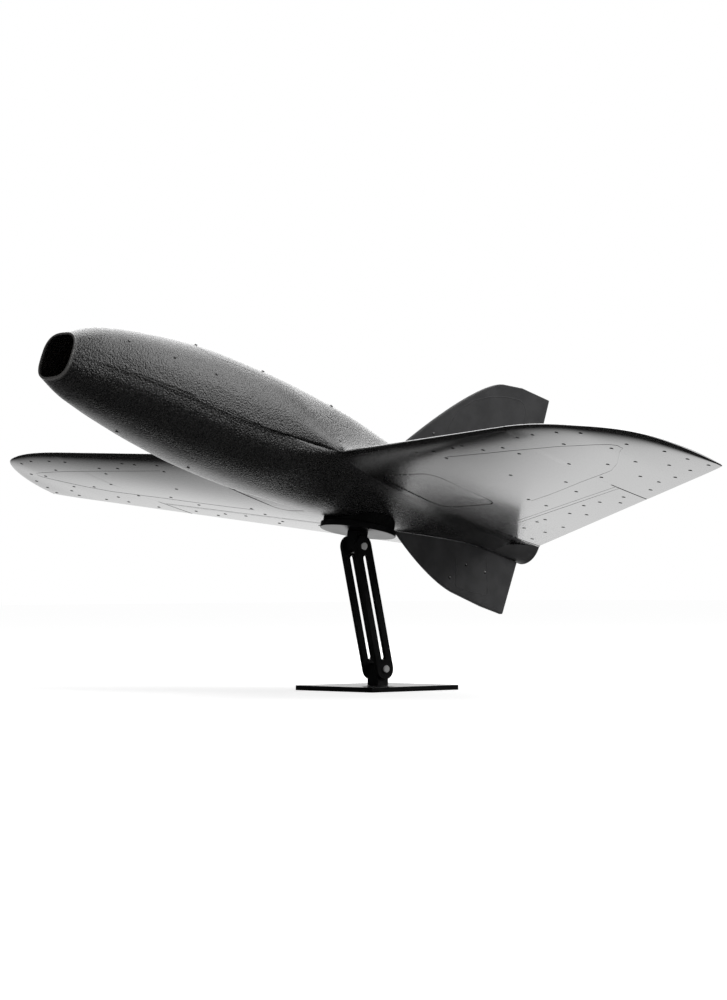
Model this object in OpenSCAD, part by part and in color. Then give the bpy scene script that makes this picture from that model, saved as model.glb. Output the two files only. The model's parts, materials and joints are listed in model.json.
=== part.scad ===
// Radio-controlled flying wing on a tilting display stand.
// Stand frame: origin at the middle of the base plate's underside, +X towards the nose, +Z up.
// Airframe frame: x forward along the wing plane, z square to it; at_air() sets it on the stand.

/* [Airframe] */
// Wing span, tip to tip
span = 730; // [640:5:800]
// Nose-up angle of the wing plane on its stand
pitch = 20; // [12:0.5:26]
// Place of the nose ring ahead of the airframe origin
nose_x = 297; // [285:1:305]
// Wall of the moulded body shells
wall = 4.5; // [3.5:0.1:6]
// Wall at the open nose ring
nose_wall = 1.5; // [1.2:0.1:3]
// Half width of the centre section, where the outer wings begin
root_y = 56; // [52:0.5:60]
// Thickness of the wing at its root
wing_root_t = 17; // [15.5:0.5:20]
// Thickness of the wing near its tip
wing_tip_t = 5; // [4:0.25:7]
// Sweep of the trailing edge
te_sweep = 25.5; // [23:0.5:27]
// Forward sweep of the leading edge
le_sweep = 9.5; // [7:0.5:11]

/* [Elevons] */
// Chord of an elevon at its inner end
elevon_root_c = 46.5; // [38:0.5:52]
// Chord of an elevon at its outer end
elevon_tip_c = 28; // [20:0.5:32]
// Spanwise place of an elevon's outer end
elevon_end_y = 250; // [220:1:270]
// Gap at the inner end of an elevon, beside the body
elevon_root_gap = 1.5; // [1.2:0.1:2]
// Width of the slot at the outer end of an elevon
elevon_gap = 1.4; // [0.8:0.1:2]
// Length of that slot ahead of the hinge line
slot_ahead = 8; // [4:0.5:12]
// Gap along the hinge line
hinge_gap = 0.35; // [0.3:0.05:0.6]
// Bevel of the V groove on each side of the hinge
hinge_bevel = 30; // [26:1:40]
// Radius from each pivot to its pushrod, on the arm and on the horn
horn_r = 16; // [14:0.5:18]
// Spanwise place of the pushrods, along the trailing edge from the root
rod_y = 115; // [108:1:122]

/* [Fins and tail] */
// Height of the dorsal fin's top corner above the wing plane
dorsal_h = 147.6; // [130:1:160]
// Depth of the ventral fin's corner below the wing plane
ventral_h = 27.3; // [20:1:34]
// Thickness of both fins
fin_t = 4; // [3:0.25:5]
// Radius of the round tail
tail_r = 15; // [14.5:0.25:16]
// Place of the tail's end behind the airframe origin
tail_x = 165; // [158:1:168]
// Wall of the tail tube
tail_wall = 1.6; // [1.2:0.1:2]
// Thickness of the motor plate
plate_t = 2; // [1.5:0.1:3]
// Diameter of the motor shaft
shaft_d = 3; // [2:0.1:4]
// Length of shaft that stands out behind the motor plate
shaft_out = 6; // [4:0.5:7]

/* [Hatch and equipment] */
// Rear end of the battery hatch
hatch_x0 = 12; // [8:1:24]
// Front end of the battery hatch
hatch_x1 = 205; // [195:1:212]
// Corner radius of the battery hatch
hatch_r = 18; // [12:1:22]
// Gap around the battery hatch
hatch_gap = 0.35; // [0.3:0.05:0.8]
// Length of the battery
battery_l = 74; // [60:1:84]
// Width of the battery
battery_w = 34; // [28:1:36]
// Height of the battery
battery_h = 24; // [18:1:26]
// Diameter of the main spar
spar_d = 6; // [5:0.5:7]
// Length of the main spar, end to end
spar_l = 420; // [360:5:460]

/* [Stand] */
// Side of the square base plate
base_w = 85; // [70:1:110]
// Thickness of the base plate
base_t = 3.6; // [3:0.1:6]
// Height of the lower pivot above the table
low_pivot_z = 15.6; // [14.5:0.1:20]
// Distance between the two pivots of a link
link_l = 92.7; // [80:0.5:110]
// Forward lean of the links
link_lean = 13.15; // [5:0.5:18]
// Width of a link
link_w = 15.6; // [14:0.2:18]
// Thickness of a link
link_t = 2.8; // [2:0.1:3.4]
// Width of the long slot in a link
slot_w = 4.2; // [3:0.1:7]
// Length of the knuckles along X
knuckle_l = 10; // [9:0.5:12]
// Width of the knuckles between the links
knuckle_w = 11.6; // [10:0.2:14]
// Diameter of the pivot screws
screw_d = 3; // [2.5:0.1:3.5]
// Diameter of the round top plate
disc_d = 56; // [48:1:60]
// Thickness of the round top plate
disc_t = 4.3; // [2.5:0.1:5]
// Distance from the upper pivot to the underside of the top plate
disc_drop = 10.5; // [9.5:0.1:16]
// Thinnest place of the saddle pad
pad_t = 2.4; // [1:0.1:4]

/* [Hidden] */
fine = 64;
clear = 0.3;
foam_black = "#1c1c1e";
part_black = "#141415";

// Place of the airframe on its stand
axis_drop = 3.9;
saddle_x = -0.9;
saddle_tilt = 9;
half = span / 2;
up_pivot = [-0.95 + link_l * sin(link_lean), low_pivot_z + link_l * cos(link_lean)];
low_pivot = [-0.95, low_pivot_z];
saddle_h = disc_drop + disc_t + pad_t;
module at_air() translate([up_pivot[0], 0, up_pivot[1]]) rotate([0, -pitch, 0])
    translate([-air_pivot[0], 0, -air_pivot[1]]) children();

// A smooth line through a few stations, and small helpers
function seg(p, x, i = 0) = i >= len(p) - 2 || x >= p[i + 1][0] ? i : seg(p, x, i + 1);
function slope(p, i) = i == 0 ? (p[1][1] - p[0][1]) / (p[1][0] - p[0][0])
    : i == len(p) - 1 ? (p[i][1] - p[i - 1][1]) / (p[i][0] - p[i - 1][0])
    : (p[i + 1][1] - p[i - 1][1]) / (p[i + 1][0] - p[i - 1][0]);
function hermite(p, x, i, h, t) = p[i][1] * (2 * t ^ 3 - 3 * t ^ 2 + 1)
    + h * slope(p, i) * (t ^ 3 - 2 * t ^ 2 + t)
    + p[i + 1][1] * (3 * t ^ 2 - 2 * t ^ 3) + h * slope(p, i + 1) * (t ^ 3 - t ^ 2);
function along(p, x) = let (i = seg(p, x), h = p[i + 1][0] - p[i][0]) hermite(p, x, i, h, (x - p[i][0]) / h);
function unit(v, a, b) = min(1, max(0, (v - a) / (b - a)));
function smooth(v, a, b) = let (t = unit(v, a, b)) t * t * (3 - 2 * t);
function mix(a, b, t) = a * (1 - t) + b * t;

// Side view of the body: stations from nose to tail
root_le = 77;
te_x0 = -153.3;
root_te = te_x(root_y);
tail_axis_z = 33;
function tail_axis(x) = tail_axis_z - (x + tail_x) * tan(axis_drop);
tail_top = tail_axis(root_te) + tail_r;
tail_low = tail_axis(root_te) - tail_r;
top_line = [[nose_x, 17], [272, 31.6], [232, 43.4], [189, 51.7], [145, 55.4], [97, 58.1], [48, 57.2],
    [3, 52.2], [-45, 48], [-90, 46.3], [root_te, tail_top]];
low_line = [[nose_x, -17.1], [272, -24.6], [227, -28.8], [197, -30.2], [166, -30.5], [113, -27.5],
    [68, -21.8], [37, -17.2], [2, -10.8], [-35, -3.5], [-69, 4.9], [-101, 12], [root_te, tail_low]];
side_line = [[nose_x, 18], [285, 22.2], [272, 26.3], [249, 33.1], [227, 37.9], [197, 41.8], [166, 44],
    [120, 44.5], [77, 42], [37, 38.5], [2, 36], [-35, 30], [-69, 24], [-101, 19], [root_te, 17.5]];
seam_line = [[nose_x, 0.5], [249, 3], [187, 4.5], [147, 6.5], [113, 10.5], [90, 13.2]];
function top(x) = along(top_line, x);
function bottom(x) = along(low_line, x);
function side(x) = along(side_line, x);
function seam(x) = x >= 90 ? along(seam_line, x) : mix(mean_z(x, root_y), 13.2, smooth(x, 70, 90));
function wall_at(x) = mix(wall, nose_wall, smooth(x, 240, nose_x));
belly_z = bottom(saddle_x + saddle_h * sin(saddle_tilt));
air_pivot = [saddle_x, belly_z - clear - saddle_h * cos(saddle_tilt)];

// Wing planform and section
wing_z = 19.1;
le_drop = 4.5;
anhedral = 0.0124;
tip_round = 120;
edge_t = 1.2;
function te_x(y) = te_x0 + tan(te_sweep) * abs(y);
function le_run(y) = root_le + tan(le_sweep) * (abs(y) - root_y);
function le_x(y) = let (u = unit(abs(y), half - tip_round, half))
    mix(te_x(half), le_run(y), sqrt(max(0, 1 - u ^ 2.15)));
function wing_t(y) = let (y = abs(y)) y < 200 ? mix(wing_root_t, 11, unit(y, root_y, 200))
    : mix(11, wing_tip_t, unit(y, 200, half - 25));
function mean_z(x, y) = let (s = (le_run(y) - x) / (le_run(y) - te_x(y)))
    wing_z - anhedral * abs(y) - le_drop * (1 - min(1, max(0, s))) * (1 - smooth(abs(y), half - 60, half));
function naca(s) = 5 * (0.2969 * sqrt(s) - 0.126 * s - 0.3516 * s ^ 2 + 0.2843 * s ^ 3 - 0.1015 * s ^ 4);
function half_t(x, y) = let (c = le_x(y) - te_x(y), s = min(1, max(0, (le_x(y) - x) / max(c, 0.01))),
    fade = sqrt(1 - 0.96 * unit(abs(y), half - tip_round / 4, half) ^ 2))
    (wing_t(y) * naca(s) + edge_t / 2 * s) * fade;

// Outer section of the body at station x: t runs from the middle line (0) to the seam (1)
flare = 33;
function flare_y(x) = x <= root_le ? 1 : x >= root_le + flare ? 0
    : let (v = (x - root_le) / flare) 1 - sqrt(1 - (1 - v) ^ 2);
function hump(y, b, n) = let (e = exp(-(root_y / b) ^ n)) (exp(-(y / b) ^ n) - e) / (1 - e);
function rise(x) = 7 * smooth(-x, -10, 110);
function boxy(x) = mix(2.2, 2.8, smooth(x, 262, nose_x));
function egg(x, t, s) = let (n = boxy(x), zc = (top(x) + bottom(x)) / 2, h = (top(x) - bottom(x)) / 2,
    q = (seam(x) - zc) / h, k = sign(q) * asin(min(1, abs(q) ^ (n / 2))), a = mix(s * 90, k, t))
    [side(x) * abs(cos(a)) ^ (2 / n), zc + h * sign(sin(a)) * abs(sin(a)) ^ (2 / n)];
function edge_z(x, s) = seam(x) + s * max(0.4, x > root_le ? 0 : half_t(x, root_y));
function gull(x, t, s) = let (y = root_y * t * (1.5 - 0.5 * t)) [y, gull_z(x, y, s)];
function gull_z(x, y, s) = let (z1 = edge_z(x, s), z0 = s > 0 ? top(x) : bottom(x), r = rise(x))
    z1 + r * (1 - abs(y) / root_y) - (z1 + r - z0) * hump(abs(y), side(x), 2.6);
function shell_out(x, t, s) = let (m = 1 - smooth(x, root_le, 125), e = egg(x, t, s), g = gull(x, t, s),
    w = mix(e, g, m), y0 = egg(x, 1, s)[0], pull = mix(y0, root_y, flare_y(x)) / mix(y0, root_y, m))
    [w[0] * (1 + (pull - 1) * t ^ 4), mix(w[1], edge_z(x, s), smooth(t, 0.85, 1))];

// Cavity of the body at station x
cavity_end = -98;
spigot_r = tail_r - 2.6;
bore_r = spigot_r + clear;
function cav_w(x) = x < cavity_end ? bore_r
    : side(x) * mix(0.78, 1, smooth(x, 60, 150)) - wall_at(x) * smooth(x, 60, 150);
function cav_top(x) = x < cavity_end ? tail_axis(x) + bore_r : top(x) - wall_at(x);
function cav_low(x) = x < cavity_end ? tail_axis(x) - bore_r : bottom(x) + wall_at(x);
function cav_mid(x) = (cav_top(x) + cav_low(x)) / 2;
function cav_h(x) = (cav_top(x) - cav_low(x)) / 2;
function cav_seam(x, y, n) = let (z = seam(x) + rise(x) * (1 - y / root_y), q = (z - cav_mid(x)) / cav_h(x),
    k = sign(q) * asin(abs(q) ^ (squareness(x) / 2)))
    n == 0 ? k : cav_seam(x, cav_w(x) * cos(k), n - 1);
function squareness(x) = mix(2, 3, smooth(x, 262, nose_x));
function shell_in(x, t, s) = let (a = mix(s * 90, cav_seam(x, cav_w(x), 3), t), e = 2 / squareness(x))
    [cav_w(x) * max(0, cos(a)) ^ e, cav_mid(x) + cav_h(x) * sign(sin(a)) * abs(sin(a)) ^ e];
function cav_z(x, y) = cav_mid(x) + cav_h(x) * sqrt(1 - (y / cav_w(x)) ^ 2);

// A skin between an outer and an inner grid of points; open(i, j) leaves a cell out.
// The edges along the first and last column can be turned, so that two skins meet face to face
function cell(a, b, c, d) = [[a, b, c], [a, c, d]];
module skin(out, in, open, turned = false) {
    nx = len(out);
    ny = len(out[0]);
    o = function (i, j) i * ny + j;
    n = function (i, j) nx * ny + i * ny + j;
    rim = function (a, b, c, d) turned ? cell(b, c, d, a) : cell(a, b, c, d);
    has = function (i, j) i >= 0 && j >= 0 && i < nx - 1 && j < ny - 1 && !open(i, j);
    faces = [for (i = [0:nx - 2], j = [0:ny - 2]) if (has(i, j)) each [
        each cell(o(i, j), o(i + 1, j), o(i + 1, j + 1), o(i, j + 1)),
        each cell(n(i, j + 1), n(i + 1, j + 1), n(i + 1, j), n(i, j)),
        if (!has(i - 1, j)) each cell(o(i, j + 1), n(i, j + 1), n(i, j), o(i, j)),
        if (!has(i + 1, j)) each cell(o(i + 1, j), n(i + 1, j), n(i + 1, j + 1), o(i + 1, j + 1)),
        if (!has(i, j - 1)) each rim(o(i, j), n(i, j), n(i + 1, j), o(i + 1, j)),
        if (!has(i, j + 1)) each rim(o(i + 1, j + 1), n(i + 1, j + 1), n(i, j + 1), o(i, j + 1))]];
    polyhedron([for (r = out) each r, for (r = in) each r], faces, convexity = 8);
}

// Closed loops of equal length joined in a row, with flat ends
module loft(loops) {
    n = len(loops[0]);
    m = len(loops);
    sides = [for (i = [0:m - 2], j = [0:n - 1]) let (k = (j + 1) % n)
        each cell(i * n + j, i * n + k, (i + 1) * n + k, (i + 1) * n + j)];
    polyhedron([for (l = loops) each l], concat(sides, [[for (j = [n - 1:-1:0]) j]],
        [[for (j = [0:n - 1]) (m - 1) * n + j]]), convexity = 8);
}

// Body shells and battery hatch
ring = 12;
hatch_cut = 4;
hatch_t = 0.45;
t_run = 72;
function between(a, b, n) = [for (k = [1:n]) mix(a, b, k / n)];
corner = [for (k = [0.04, 0.14, 0.33, 0.61, 1]) k * hatch_r];
body_x = concat([nose_x, 291, 283, 272, 258], between(258, hatch_x1, 3), [for (d = corner) hatch_x1 - d],
    between(hatch_x1 - hatch_r, 112, 5), [104, 97, 90, 84, 80, root_le + 0.6, 76.4, 74, 69, 60, 48],
    [for (k = [4:-1:0]) hatch_x0 + corner[k]], [hatch_x0], between(hatch_x0, -90, 7),
    [cavity_end + 0.5, cavity_end - 0.5, -112, root_te]);
// Edge of the battery hatch at station x, with rounded corners; columns of points follow it
function lid_edge(x, gap) = let (r = hatch_r - gap, d = max(0, min(x - hatch_x0, hatch_x1 - x) - gap))
    hatch_t - gap / t_run - (d < r ? r - sqrt(r ^ 2 - (r - d) ^ 2) : 0) / t_run;
function opening(x) = mix(lid_edge(x, 0), hatch_cut / ring, smooth(max(hatch_x0 - x, x - hatch_x1), 0, 40));
function column(j, x, n, s) = let (e = opening(x) * ring / n)
    s < 0 ? j / n : j <= hatch_cut ? j / hatch_cut * e : mix(e, 1, (j - hatch_cut) / (n - hatch_cut));
function square_end(x, z) = x > root_te ? x : x + (z - tail_axis(x)) * tan(axis_drop);
function out_row(x, s) = [for (j = [-ring - 1:ring + 1]) let (p = shell_out(x, column(min(ring, abs(j)), x, ring, s), s),
    z = abs(j) > ring ? seam(x) : p[1]) [square_end(x, z), sign(j) * p[0], z]];
function in_row(x, s) = [for (j = [-ring - 1:ring + 1]) let (p = shell_in(x, column(abs(j), x, ring + 1, s), s))
    [square_end(x, p[1]), sign(j) * p[0], p[1]]];
// The row is walked from nose to tail below the seam, and from tail to nose above it
module half_shell(s, open) {
    xs = s < 0 ? body_x : [for (i = [len(body_x) - 1:-1:0]) body_x[i]];
    skin([for (x = xs) out_row(x, s)], [for (x = xs) in_row(x, s)], open, s > 0);
}
module fuselage_lower() color(foam_black) at_air() difference() {
    half_shell(-1, function (i, j) false);
    spar_bore();
}
function in_hatch(x) = x > hatch_x0 && x < hatch_x1;
module fuselage_upper() {
    n = len(body_x);
    color(foam_black) at_air() difference() {
        half_shell(1, function (i, j) in_hatch((body_x[n - 1 - i] + body_x[n - 2 - i]) / 2)
            && abs(j + 0.5 - ring - 1) < hatch_cut);
        spar_bore();
    }
}
lid_x = concat([hatch_x0 + hatch_gap], [for (i = [len(body_x) - 1:-1:0]) if (body_x[i] > hatch_x0 + hatch_gap + 0.1
    && body_x[i] < hatch_x1 - hatch_gap - 0.1) body_x[i]], [hatch_x1 - hatch_gap]);
function lid_t(j, x, n) = abs(j) / hatch_cut * lid_edge(x, hatch_gap) * ring / n;
module battery_hatch() color(foam_black) at_air() skin(
    [for (x = lid_x) [for (j = [-hatch_cut:hatch_cut]) let (p = shell_out(x, lid_t(j, x, ring), 1)) [x, sign(j) * p[0], p[1]]]],
    [for (x = lid_x) [for (j = [-hatch_cut:hatch_cut]) let (p = shell_in(x, lid_t(j, x, ring + 1), 1)) [x, sign(j) * p[0], p[1]]]],
    function (i, j) false);

// Outer wings, with the servo bay cut from below
function chordwise(n, a, b) = [for (k = [0:n]) mix(a, b, (1 - cos(180 * k / n)) / 2)];
function hinge_x(y) = mix(te_x(root_y) + elevon_root_c, te_x(elevon_end_y) + elevon_tip_c,
    (abs(y) - root_y) / (elevon_end_y - root_y));
function skin_z(x, y, s) = mean_z(x, y) + s * half_t(x, y);
hinge_in = [hinge_x(root_y), root_y, skin_z(hinge_x(root_y), root_y, -1)];
hinge_out = [hinge_x(elevon_end_y), elevon_end_y, skin_z(hinge_x(elevon_end_y), elevon_end_y, -1)];
hinge_turn = atan2(hinge_out[0] - hinge_in[0], hinge_out[1] - hinge_in[1]);
function hinge_z(y) = mix(hinge_in[2], hinge_out[2], (y - root_y) / (elevon_end_y - root_y));
function thick(x, y) = 2 * half_t(x, y);
function wing_loop(y, cut) = let (le = le_x(y), h = hinge_x(y) + hinge_gap / 2,
    low_end = cut ? h : te_x(y), top_end = cut ? h + thick(h, y) * tan(hinge_bevel) : te_x(y),
    low = chordwise(10, low_end, le), up = chordwise(10, le, top_end))
    concat([for (k = [0:10]) [low[k], y, cut && k == 0 ? hinge_z(y) : skin_z(low[k], y, -1)]],
        [for (k = [1:10]) [up[k], y, skin_z(up[k], y, 1)]]);
tip_y = half - 0.05;
function tip_run(n) = [for (k = [1:n]) let (u = 1 - k / n) mix(elevon_end_y + 0.05, tip_y, 1 - u ^ 1.7)];
slot_back = 2;
slot_h = 24;
module wing_panel() difference() {
    loft(concat([for (y = concat([root_y], between(root_y, elevon_end_y, 5))) wing_loop(y, true)],
        [for (y = concat([elevon_end_y + 0.05], tip_run(9))) wing_loop(y, false)]));
    spar_bore();
    servo_bay();
    // Slot at the elevon's outer end
    translate([hinge_x(elevon_end_y) - slot_back, elevon_end_y - elevon_gap, hinge_out[2] - slot_h / 2])
        cube([slot_ahead + slot_back, elevon_gap, slot_h]);
}
module wing_left() color(foam_black) at_air() wing_panel();
module wing_right() color(foam_black) at_air() mirror([0, 1, 0]) wing_panel();

// Carbon spar, seated in a bore along the wing's mean line
spar_x = 34;
spar_z = mean_z(spar_x, spar_l / 4);
module spar_rod(d, l) translate([spar_x, 0, spar_z]) rotate([90, 0, 0]) cylinder(h = l, d = d, center = true, $fn = fine);
module spar_bore() spar_rod(spar_d + 0.1, spar_l + 1);
module main_spar() color("#202022") at_air() difference() {
    spar_rod(spar_d, spar_l);
    spar_rod(spar_d - 2, spar_l + 2);
}

// Elevons: a V groove opens upward from the hinge line at the lower skin
function elevon_loop(y) = let (h = hinge_x(y) - hinge_gap / 2, te = te_x(y),
    top_x = h - thick(h, y) * tan(hinge_bevel) / 2, low = chordwise(6, te, h), up = chordwise(6, top_x, te))
    concat([for (k = [0:6]) [low[k], y, k == 6 ? hinge_z(y) : skin_z(low[k], y, -1)]],
        [for (k = [0:6]) [up[k], y, skin_z(up[k], y, 1)]]);
module elevon() let (a = root_y + elevon_root_gap, b = elevon_end_y - elevon_gap)
    loft([for (y = concat([a], between(a, b, 7))) elevon_loop(y)]);
module elevon_left() color(foam_black) at_air() elevon();
module elevon_right() color(foam_black) at_air() mirror([0, 1, 0]) elevon();

// Control linkage: a parallelogram in a plane square to the hinge line
servo_t = 8.6;
servo_seat = 2.6;
rod_run = 62;
rod_d = 1.5;
pin_clear = 0.05;
arm_t = 1.6;
arm_reach = 15.6;
hinge_at = [hinge_x(rod_y), rod_y, hinge_z(rod_y)];
shaft_at = [hinge_at[0] + rod_run * cos(hinge_turn), rod_y - rod_run * sin(hinge_turn),
    skin_z(hinge_at[0] + rod_run * cos(hinge_turn), rod_y - rod_run * sin(hinge_turn), -1) + servo_t / 2 + servo_seat];
module at_hinge() translate(hinge_at) rotate([0, 0, -hinge_turn]) children();
module at_shaft() translate(shaft_at) rotate([0, 0, -hinge_turn]) children();
module across(h, d, y0) translate([0, y0, 0]) rotate([-90, 0, 0]) cylinder(h = h, d = d, $fn = 32);

servo_l = 20;
servo_h = 17;
servo_ear = 4;
servo_face = -4.2;
shaft_back = 5;
spline_d = 4.6;
servo_gap = 0.4;
module servo() {
    translate([-shaft_back, servo_face - servo_h, -servo_t / 2]) cube([servo_l, servo_h, servo_t]);
    difference() {
        translate([-shaft_back - servo_ear, servo_face - 5, -servo_t / 2]) cube([servo_l + 2 * servo_ear, 1.6, servo_t]);
        for (x = [-shaft_back - servo_ear / 2, servo_l - shaft_back + servo_ear / 2])
            translate([x, 0, 0]) across(3, 1.8, servo_face - 6);
    }
    across(2.2, servo_t - 0.6, servo_face);
    across(3.8, spline_d, servo_face);
}
module servo_left() color(part_black) at_air() at_shaft() servo();
module servo_right() color(part_black) at_air() mirror([0, 1, 0]) at_shaft() servo();
arm_sweep = horn_r * 0.5 + 4;
module servo_bay() {
    at_shaft() {
        translate([-shaft_back - servo_ear - servo_gap, servo_face - servo_h - servo_gap, -servo_t])
            cube([servo_l + 2 * (servo_ear + servo_gap), servo_h + servo_gap - servo_face, servo_t * 1.5 + 0.1]);
        translate([-arm_sweep, -2.6, -servo_t]) cube([2 * arm_sweep, 6.6, servo_t + horn_r + 8]);
    }
    at_cover() rounded(cover_l + 0.5, cover_w + 0.5, cover_r, -20, 20 + cover_t / 2 + 0.05);
}

// Servo bay cover, flush with the lower skin
cover_x = [-20, 47];
cover_y = [62.5, 118.5];
cover_l = cover_x[1] - cover_x[0];
cover_w = cover_y[1] - cover_y[0];
cover_r = 11;
cover_t = 1.6;
cover_mid = [(cover_x[0] + cover_x[1]) / 2, (cover_y[0] + cover_y[1]) / 2];
cover_dx = skin_z(cover_x[1], cover_mid[1], -1) - skin_z(cover_x[0], cover_mid[1], -1);
cover_dy = skin_z(cover_mid[0], cover_y[1], -1) - skin_z(cover_mid[0], cover_y[0], -1);
cover_z = (skin_z(cover_x[0], cover_mid[1], -1) + skin_z(cover_x[1], cover_mid[1], -1)) / 4
    + skin_z(cover_mid[0], cover_mid[1], -1) / 2;
module at_cover() translate([cover_mid[0], cover_mid[1], cover_z + cover_t / 2])
    rotate([atan(cover_dy / cover_w), -atan(cover_dx / cover_l), 0]) children();
module rounded(l, w, r, z0, h) translate([0, 0, z0]) linear_extrude(h) {
    square([l - 2 * r, w], center = true);
    square([l, w - 2 * r], center = true);
    for (x = [-1, 1], y = [-1, 1]) translate([x * (l / 2 - r), y * (w / 2 - r)]) circle(r, $fn = fine);
}
module servo_cover() at_cover() rounded(cover_l, cover_w, cover_r, -cover_t / 2, cover_t);
module servo_cover_left() color(foam_black) at_air() servo_cover();
module servo_cover_right() color(foam_black) at_air() mirror([0, 1, 0]) servo_cover();

// Arm, pushrod and horn; the rod runs beside both
boss_r = 2.4;
rod_side = 2.4;
module bar_link(r0, r1, h) {
    // A tapered bar from a hub at the origin up to a boss at height h
    linear_extrude(arm_t, center = true) polygon([[-r0, 0], [r0, 0], [r1, h], [-r1, h]]);
}
module servo_arm() difference() {
    union() {
        across(arm_t, 2 * boss_r + 2, -arm_t / 2);
        across(1, spline_d + 2.4, -arm_t / 2 - 1);
        rotate([90, 0, 0]) bar_link(boss_r, boss_r - 0.6, horn_r);
        translate([0, 0, horn_r]) across(arm_t, 2 * boss_r, -arm_t / 2);
    }
    across(2, spline_d + 2 * pin_clear, -arm_t / 2 - 1.6);
    translate([0, 0, horn_r]) across(4, rod_d + 2 * pin_clear, -2);
}
module servo_arm_left() color(part_black) at_air() at_shaft() servo_arm();
module servo_arm_right() color(part_black) at_air() mirror([0, 1, 0]) at_shaft() servo_arm();

rod_vec = shaft_at - hinge_at;
rod_len = sqrt(rod_vec[0] ^ 2 + rod_vec[1] ^ 2 + rod_vec[2] ^ 2);
rod_rise = asin(rod_vec[2] / rod_len);
module pushrod() at_hinge() translate([0, 0, horn_r]) rotate([0, -rod_rise, 0]) {
    for (x = [0, rod_len]) translate([x, 0, 0]) across(rod_side + 2, rod_d, -2);
    translate([0, rod_side, 0]) rotate([0, 90, 0]) cylinder(h = rod_len, d = rod_d, $fn = 32);
    for (x = [0, rod_len]) translate([x, rod_side, 0]) sphere(d = rod_d, $fn = 32);
}
module pushrod_left() color("silver") at_air() pushrod();
module pushrod_right() color("silver") at_air() mirror([0, 1, 0]) pushrod();

horn_foot = [-18, -7];
horn_foot_t = 1;
function elevon_top(u) = skin_z(hinge_at[0] + u * cos(hinge_turn), rod_y - u * sin(hinge_turn), 1) - hinge_at[2];
horn_slope = atan((elevon_top(horn_foot[1]) - elevon_top(horn_foot[0])) / (horn_foot[1] - horn_foot[0]));
module control_horn() at_hinge() difference() {
    union() {
        rotate([90, 0, 0]) linear_extrude(arm_t, center = true) polygon([
            [horn_foot[0] + 1, elevon_top(horn_foot[0]) + 0.4], [horn_foot[1], elevon_top(horn_foot[1]) + 0.4],
            [boss_r, horn_r - 0.8], [0.4, horn_r + boss_r], [-1.6, horn_r + boss_r - 0.6]]);
        translate([0, 0, horn_r]) across(arm_t, 2 * boss_r, -arm_t / 2);
        translate([horn_foot[0], 0, elevon_top(horn_foot[0]) + 0.1]) rotate([0, -horn_slope, 0])
            translate([0, -4, 0]) cube([horn_foot[1] - horn_foot[0], 8, horn_foot_t]);
    }
    translate([0, 0, horn_r]) across(4, rod_d + 2 * pin_clear, -2);
}
module control_horn_left() color(part_black) at_air() control_horn();
module control_horn_right() color(part_black) at_air() mirror([0, 1, 0]) control_horn();

// Fins: flat mouldings that stand on the body's middle line
fin_gap = 0.2;
function keel(x, s) = x < root_te ? tail_axis(x) + s * tail_r : s > 0 ? top(x) : bottom(x);
module fin(outline, x1, x0, s) rotate([90, 0, 0]) linear_extrude(fin_t, center = true)
    polygon(concat(outline, [for (k = [0:16]) let (x = mix(x1, x0, k / 16)) [x, keel(x, s) + s * fin_gap]]));
dorsal_x0 = -12;
dorsal_x = [-100, -120, -150];
dorsal_dip = [6.8, 1.9];
dorsal_end = -152;
module dorsal_fin() color("#2a2a2c") at_air() {
    h = dorsal_h - dorsal_dip[0];
    z0 = keel(dorsal_x0, 1);
    fin(concat([for (k = [1:12]) let (u = k / 12) [mix(dorsal_x0, dorsal_x[0], u),
        z0 + (h - z0) * (1 - (1 - u) ^ 1.3)]],
        [[dorsal_x[1], dorsal_h - dorsal_dip[1]], [dorsal_x[2], dorsal_h]]), dorsal_end, dorsal_x0, 1);
}
ventral_x0 = -33;
ventral_x = [-104, -135, -157.5];
ventral_end = -158.8;
module ventral_fin() color("#2a2a2c") at_air() {
    z0 = keel(ventral_x0, -1);
    fin(concat([for (k = [1:12]) let (u = k / 12) [mix(ventral_x0, ventral_x[0], u),
        z0 - (z0 + ventral_h) * (1 - (1 - u) ^ 1.6)]], [[ventral_x[1], -ventral_h], [ventral_x[2], 1.5 - ventral_h]]),
        ventral_end, ventral_x0, -1);
}

// Tail tube, motor and shaft, on the body's tail axis
module at_tail() translate([-tail_x, 0, tail_axis_z]) rotate([0, 90 + axis_drop, 0]) children();
tube_l = (tail_x + root_te) / cos(axis_drop) - 0.1;
spigot_l = 25;
module ring_solid(r, r_in, z0, z1) translate([0, 0, z0]) rotate_extrude($fn = 96)
    translate([r_in, 0]) square([r - r_in, z1 - z0]);
module tail_tube() color("#2c2c2e") at_air() at_tail() {
    ring_solid(tail_r, tail_r - tail_wall, plate_t, tube_l);
    ring_solid(tail_r - tail_wall + 0.2, spigot_r - 1.6, tube_l - 2, tube_l);
    ring_solid(spigot_r, spigot_r - 1.6, tube_l - 0.5, tube_l + spigot_l);
}
bolt_pcd = 16;
bolt_d = 2;
base_r = 9.8;
stator_t = 2;
bell_r = 11.6;
bell_z = [plate_t + stator_t + 0.6, plate_t + stator_t + 11];
module bolts(d, z0, z1) for (a = [45:90:315]) rotate(a)
    translate([bolt_pcd / 2, 0, z0]) cylinder(h = z1 - z0, d = d, $fn = 32);
module motor_plate() color("#3a3a3c") at_air() at_tail() difference() {
    union() {
        cylinder(h = plate_t, r = tail_r, $fn = 96);
        ring_solid(tail_r - tail_wall - 0.1, tail_r - tail_wall - 1.6, plate_t - 0.5, plate_t + 2);
    }
    bolts(bolt_d + 0.2, -1, plate_t + 1);
    translate([0, 0, -1]) cylinder(h = plate_t + 2, d = shaft_d + 2, $fn = fine);
}
module motor_screws() color("silver") at_air() at_tail() {
    bolts(bolt_d, -0.5, plate_t + stator_t - 0.2);
    bolts(3.8, -1.3, 0);
}
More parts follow.
